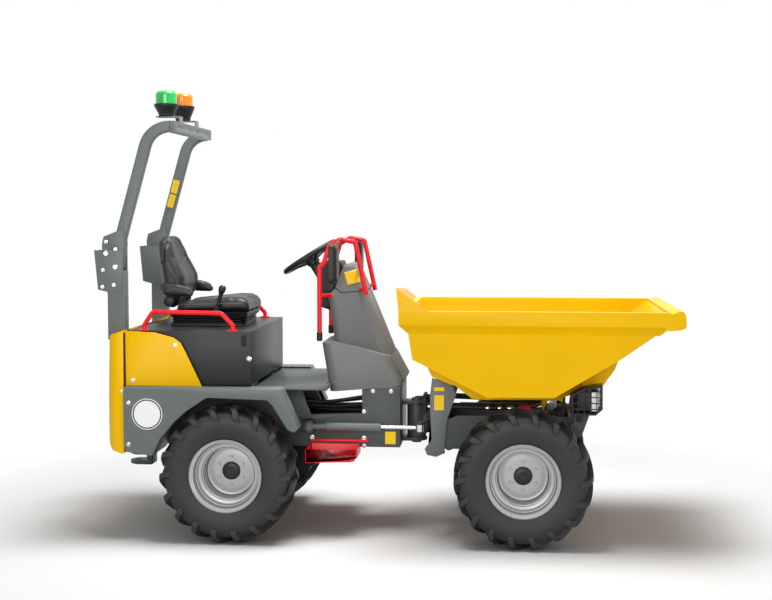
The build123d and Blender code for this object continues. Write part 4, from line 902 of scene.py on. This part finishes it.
# ---------------------------------------------------------------- hoses
def smooth_path(points, count=10):
    """Points along a Catmull-Rom curve through the given ones."""
    points = [Vector(p) for p in points]
    points = [points[0] * 2 - points[1], *points, points[-1] * 2 - points[-2]]
    path = []
    for p0, p1, p2, p3 in zip(points, points[1:], points[2:], points[3:]):
        for k in range(count):
            t = k / count
            path.append(0.5 * (2 * p1 + (p2 - p0) * t + (2 * p0 - 5 * p1 + 4 * p2 - p3) * t * t
                               + (3 * p1 - p0 - 3 * p2 + p3) * t ** 3))
    path.append(points[-2])
    return path


def hose(name, points, radius, body, other=None):
    """A hose at the length of its own route; given another body, it is left on no body with its place baked
    in.
    """
    path = smooth_path(points)
    obj = tube(name, path, radius, None if other else body, "hose", straight=True)
    if other:
        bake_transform(obj)


ENGINE_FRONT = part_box("engine_block")[1].x
EARS_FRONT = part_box("rear_chassis")[1].x  # front of the rear frame's steering ears
# hoses from the engine to the tower: (y and z at the engine, height midway, y and z in the tower)
HOSES = [
    (-0.150, 0.800, 0.752, -0.130, 0.790), (-0.090, 0.770, 0.725, -0.160, 0.742),
    (-0.030, 0.740, 0.700, -0.100, 0.700), (0.040, 0.790, 0.735, -0.040, 0.765),
    (0.100, 0.730, 0.690, 0.060, 0.720), (0.150, 0.690, 0.660, 0.120, 0.670),
    (-0.120, 0.680, 0.640, -0.170, 0.660),
]
for k, (y_a, z_a, z_mid, y_b, z_b) in enumerate(HOSES):
    x_a, x_b = ENGINE_FRONT - 0.01, -0.02
    points = [(x_a, y_a, z_a), (x_a + 0.08, y_a, z_a), ((x_a + x_b) / 2, (y_a + y_b) / 2, z_mid),
              (x_b - 0.10, y_b, z_b), (x_b, y_b, z_b)]
    hose(f"hose_{k + 1}", points, 0.0095, "rear_frame")

# hoses at the steering pin, from the front of the ears to a coupling block behind it on the yoke
BLOCK_X = 0.196
for k, (y, z_a, z_b) in enumerate(((-0.050, 0.742, 0.742), (0.0, 0.775, 0.765), (0.050, 0.742, 0.742))):
    points = [(EARS_FRONT - 0.001, y * 1.3, z_a), (EARS_FRONT + 0.05, y * 1.25, z_a - 0.003),
              (BLOCK_X - 0.050, y, z_b - 0.003), (BLOCK_X, y, z_b)]
    hose(f"hose_crossing_{k + 1}", points, 0.012, "rear_frame", "yoke")
bm = bmesh.new()
prism(bm, [(-0.080, 0.690), (0.080, 0.690), (0.080, 0.772), (0.060, 0.792), (-0.060, 0.792), (-0.080, 0.772)],
      (BLOCK_X, 0, 0), (0, 1, 0), UP, 0.018)
from_bm(bm, "coupling_block", "yoke", "iron")

# hoses along the front frame, under the skip, with the fittings on the outer one
REACH = ((0.284, 0.752), (0.36, 0.752), (0.50, 0.748), (0.62, 0.746), (0.82, 0.742), (0.98, 0.690),
         (1.068, 0.650))
for k, y in enumerate((-0.262, -0.225, -0.188, 0.188, 0.225)):
    hose(f"hose_front_{k + 1}", [(x, y, z - 0.006 * (k % 2)) for x, z in REACH], 0.0125, "front_frame")
FITTINGS = [(0.575, 0.022, "steel"), (0.645, 0.022, "steel"), (0.700, 0.040, "steel"),
            (0.765, 0.070, "red_paint"), (0.905, 0.026, "steel")]
for k, (x, length, material) in enumerate(FITTINGS):
    bm = bmesh.new()
    z, fall = (0.745, 0) if x < 0.85 else (0.722, -0.28)
    sleeve = [(0.0125, 0), (0.0175, 0.002), (0.0185, length / 2), (0.0175, length - 0.002), (0.0125, length)]
    lathe(bm, sleeve, (x, -0.262, z), (1, 0, fall), UP, 24)
    from_bm(bm, f"fitting_{k + 1}", "front_frame", material)

# ---------------------------------------------------------------- stage, light and camera
floor_mesh = bpy.data.meshes.new("floor")
bm = bmesh.new()
bmesh.ops.create_grid(bm, x_segments=1, y_segments=1, size=60)
bm.to_mesh(floor_mesh)
bm.free()
floor = bpy.data.objects.new("floor", floor_mesh)
scene.collection.objects.link(floor)
floor.location.z = -0.0005


def seen_directly(nodes, links):
    """1 for rays from the camera, reflections and clear plastic, 0 for light."""
    ray = nodes.new("ShaderNodeLightPath")
    total = None
    for name in ("Is Camera Ray", "Is Glossy Ray", "Is Transmission Ray"):
        if total is None:
            total = ray.outputs[name]
            continue
        add = nodes.new("ShaderNodeMath")
        add.operation = "MAXIMUM"
        links.new(total, add.inputs[0])
        links.new(ray.outputs[name], add.inputs[1])
        total = add.outputs[0]
    return total


def floor_material():
    """Pale floor that keeps the shadow near the machine and runs out into plain white."""
    material, tree, bsdf = shader("floor")
    nodes, links = tree.nodes, tree.links
    bsdf.inputs["Roughness"].default_value = 0.9
    bsdf.inputs["Specular IOR Level"].default_value = 0.0
    tint = nodes.new("ShaderNodeMix")
    tint.data_type = "RGBA"
    tint.inputs["A"].default_value = (0.70, 0.70, 0.70, 1)
    tint.inputs["B"].default_value = (0.86, 0.86, 0.86, 1)
    seen = seen_directly(nodes, links)
    links.new(seen, tint.inputs["Factor"])
    links.new(tint.outputs["Result"], bsdf.inputs["Base Color"])
    where = nodes.new("ShaderNodeNewGeometry")
    flat = nodes.new("ShaderNodeVectorMath")
    flat.operation = "LENGTH"
    links.new(where.outputs["Position"], flat.inputs[0])
    far = nodes.new("ShaderNodeMapRange")
    far.interpolation_type = "SMOOTHSTEP"
    far.inputs["From Min"].default_value = 1.9
    far.inputs["From Max"].default_value = 3.6
    links.new(flat.outputs["Value"], far.inputs["Value"])
    both = nodes.new("ShaderNodeMath")
    both.operation = "MULTIPLY"
    links.new(far.outputs["Result"], both.inputs[0])
    links.new(seen, both.inputs[1])
    glow = nodes.new("ShaderNodeEmission")
    glow.inputs["Strength"].default_value = 1.0
    blend = nodes.new("ShaderNodeMixShader")
    links.new(both.outputs[0], blend.inputs["Fac"])
    links.new(bsdf.outputs["BSDF"], blend.inputs[1])
    links.new(glow.outputs["Emission"], blend.inputs[2])
    links.new(blend.outputs["Shader"], nodes["Material Output"].inputs["Surface"])
    return material


floor_mesh.materials.append(floor_material())

WORLD_LIGHT = 0.34


def studio():
    """White surroundings: full white where seen directly, and dim as a light."""
    world = bpy.data.worlds.new("studio")
    scene.world = world
    world.use_nodes = True
    nodes, links = world.node_tree.nodes, world.node_tree.links
    backdrop = nodes["Background"]
    strength = nodes.new("ShaderNodeMix")
    strength.inputs["A"].default_value = WORLD_LIGHT
    strength.inputs["B"].default_value = 1.0
    links.new(seen_directly(nodes, links), strength.inputs["Factor"])
    backdrop.inputs["Color"].default_value = (1, 1, 1, 1)
    links.new(strength.outputs["Result"], backdrop.inputs["Strength"])


studio()


def softbox(name, place_at, aim, size, power):
    """A rectangular lamp that faces a point."""
    lamp = bpy.data.lights.new(name, "AREA")
    lamp.shape = "RECTANGLE"
    lamp.size, lamp.size_y = size
    lamp.energy = power
    obj = bpy.data.objects.new(name, lamp)
    scene.collection.objects.link(obj)
    obj.location = place_at
    obj.rotation_euler = (Vector(aim) - Vector(place_at)).to_track_quat("-Z", "Y").to_euler()
    return obj


lit_by_front_lamps = bpy.data.collections.new("lit_by_front_lamps")
lit_by_front_lamps.objects.link(floor)
lit_by_front_lamps.collection_objects[0].light_linking.link_state = "EXCLUDE"
softbox("overhead", (0.2, -0.1, 5.5), (0.1, 0, 0.8), (3.0, 2.0), 340)
for lamp in (softbox("key", (-1.2, -7.5, 2.3), (0, 0, 0.9), (4, 3), 230),
             softbox("fill", (4.5, -5.5, 1.4), (0.3, 0, 0.9), (3, 2.4), 70)):
    lamp.light_linking.receiver_collection = lit_by_front_lamps

CAMERA_AT = (0.723, -7.962, 1.889)
CAMERA_DOWN, CAMERA_TURN = 3.818, 5.437  # degrees below level, and about Z
camera = bpy.data.cameras.new("camera")
camera.lens = 61.85
camera.sensor_width = 36
view = bpy.data.objects.new("camera", camera)
scene.collection.objects.link(view)
view.location = CAMERA_AT
view.rotation_euler = (math.radians(90 - CAMERA_DOWN), 0, math.radians(CAMERA_TURN))
scene.camera = view
scene.view_settings.view_transform = "Standard"
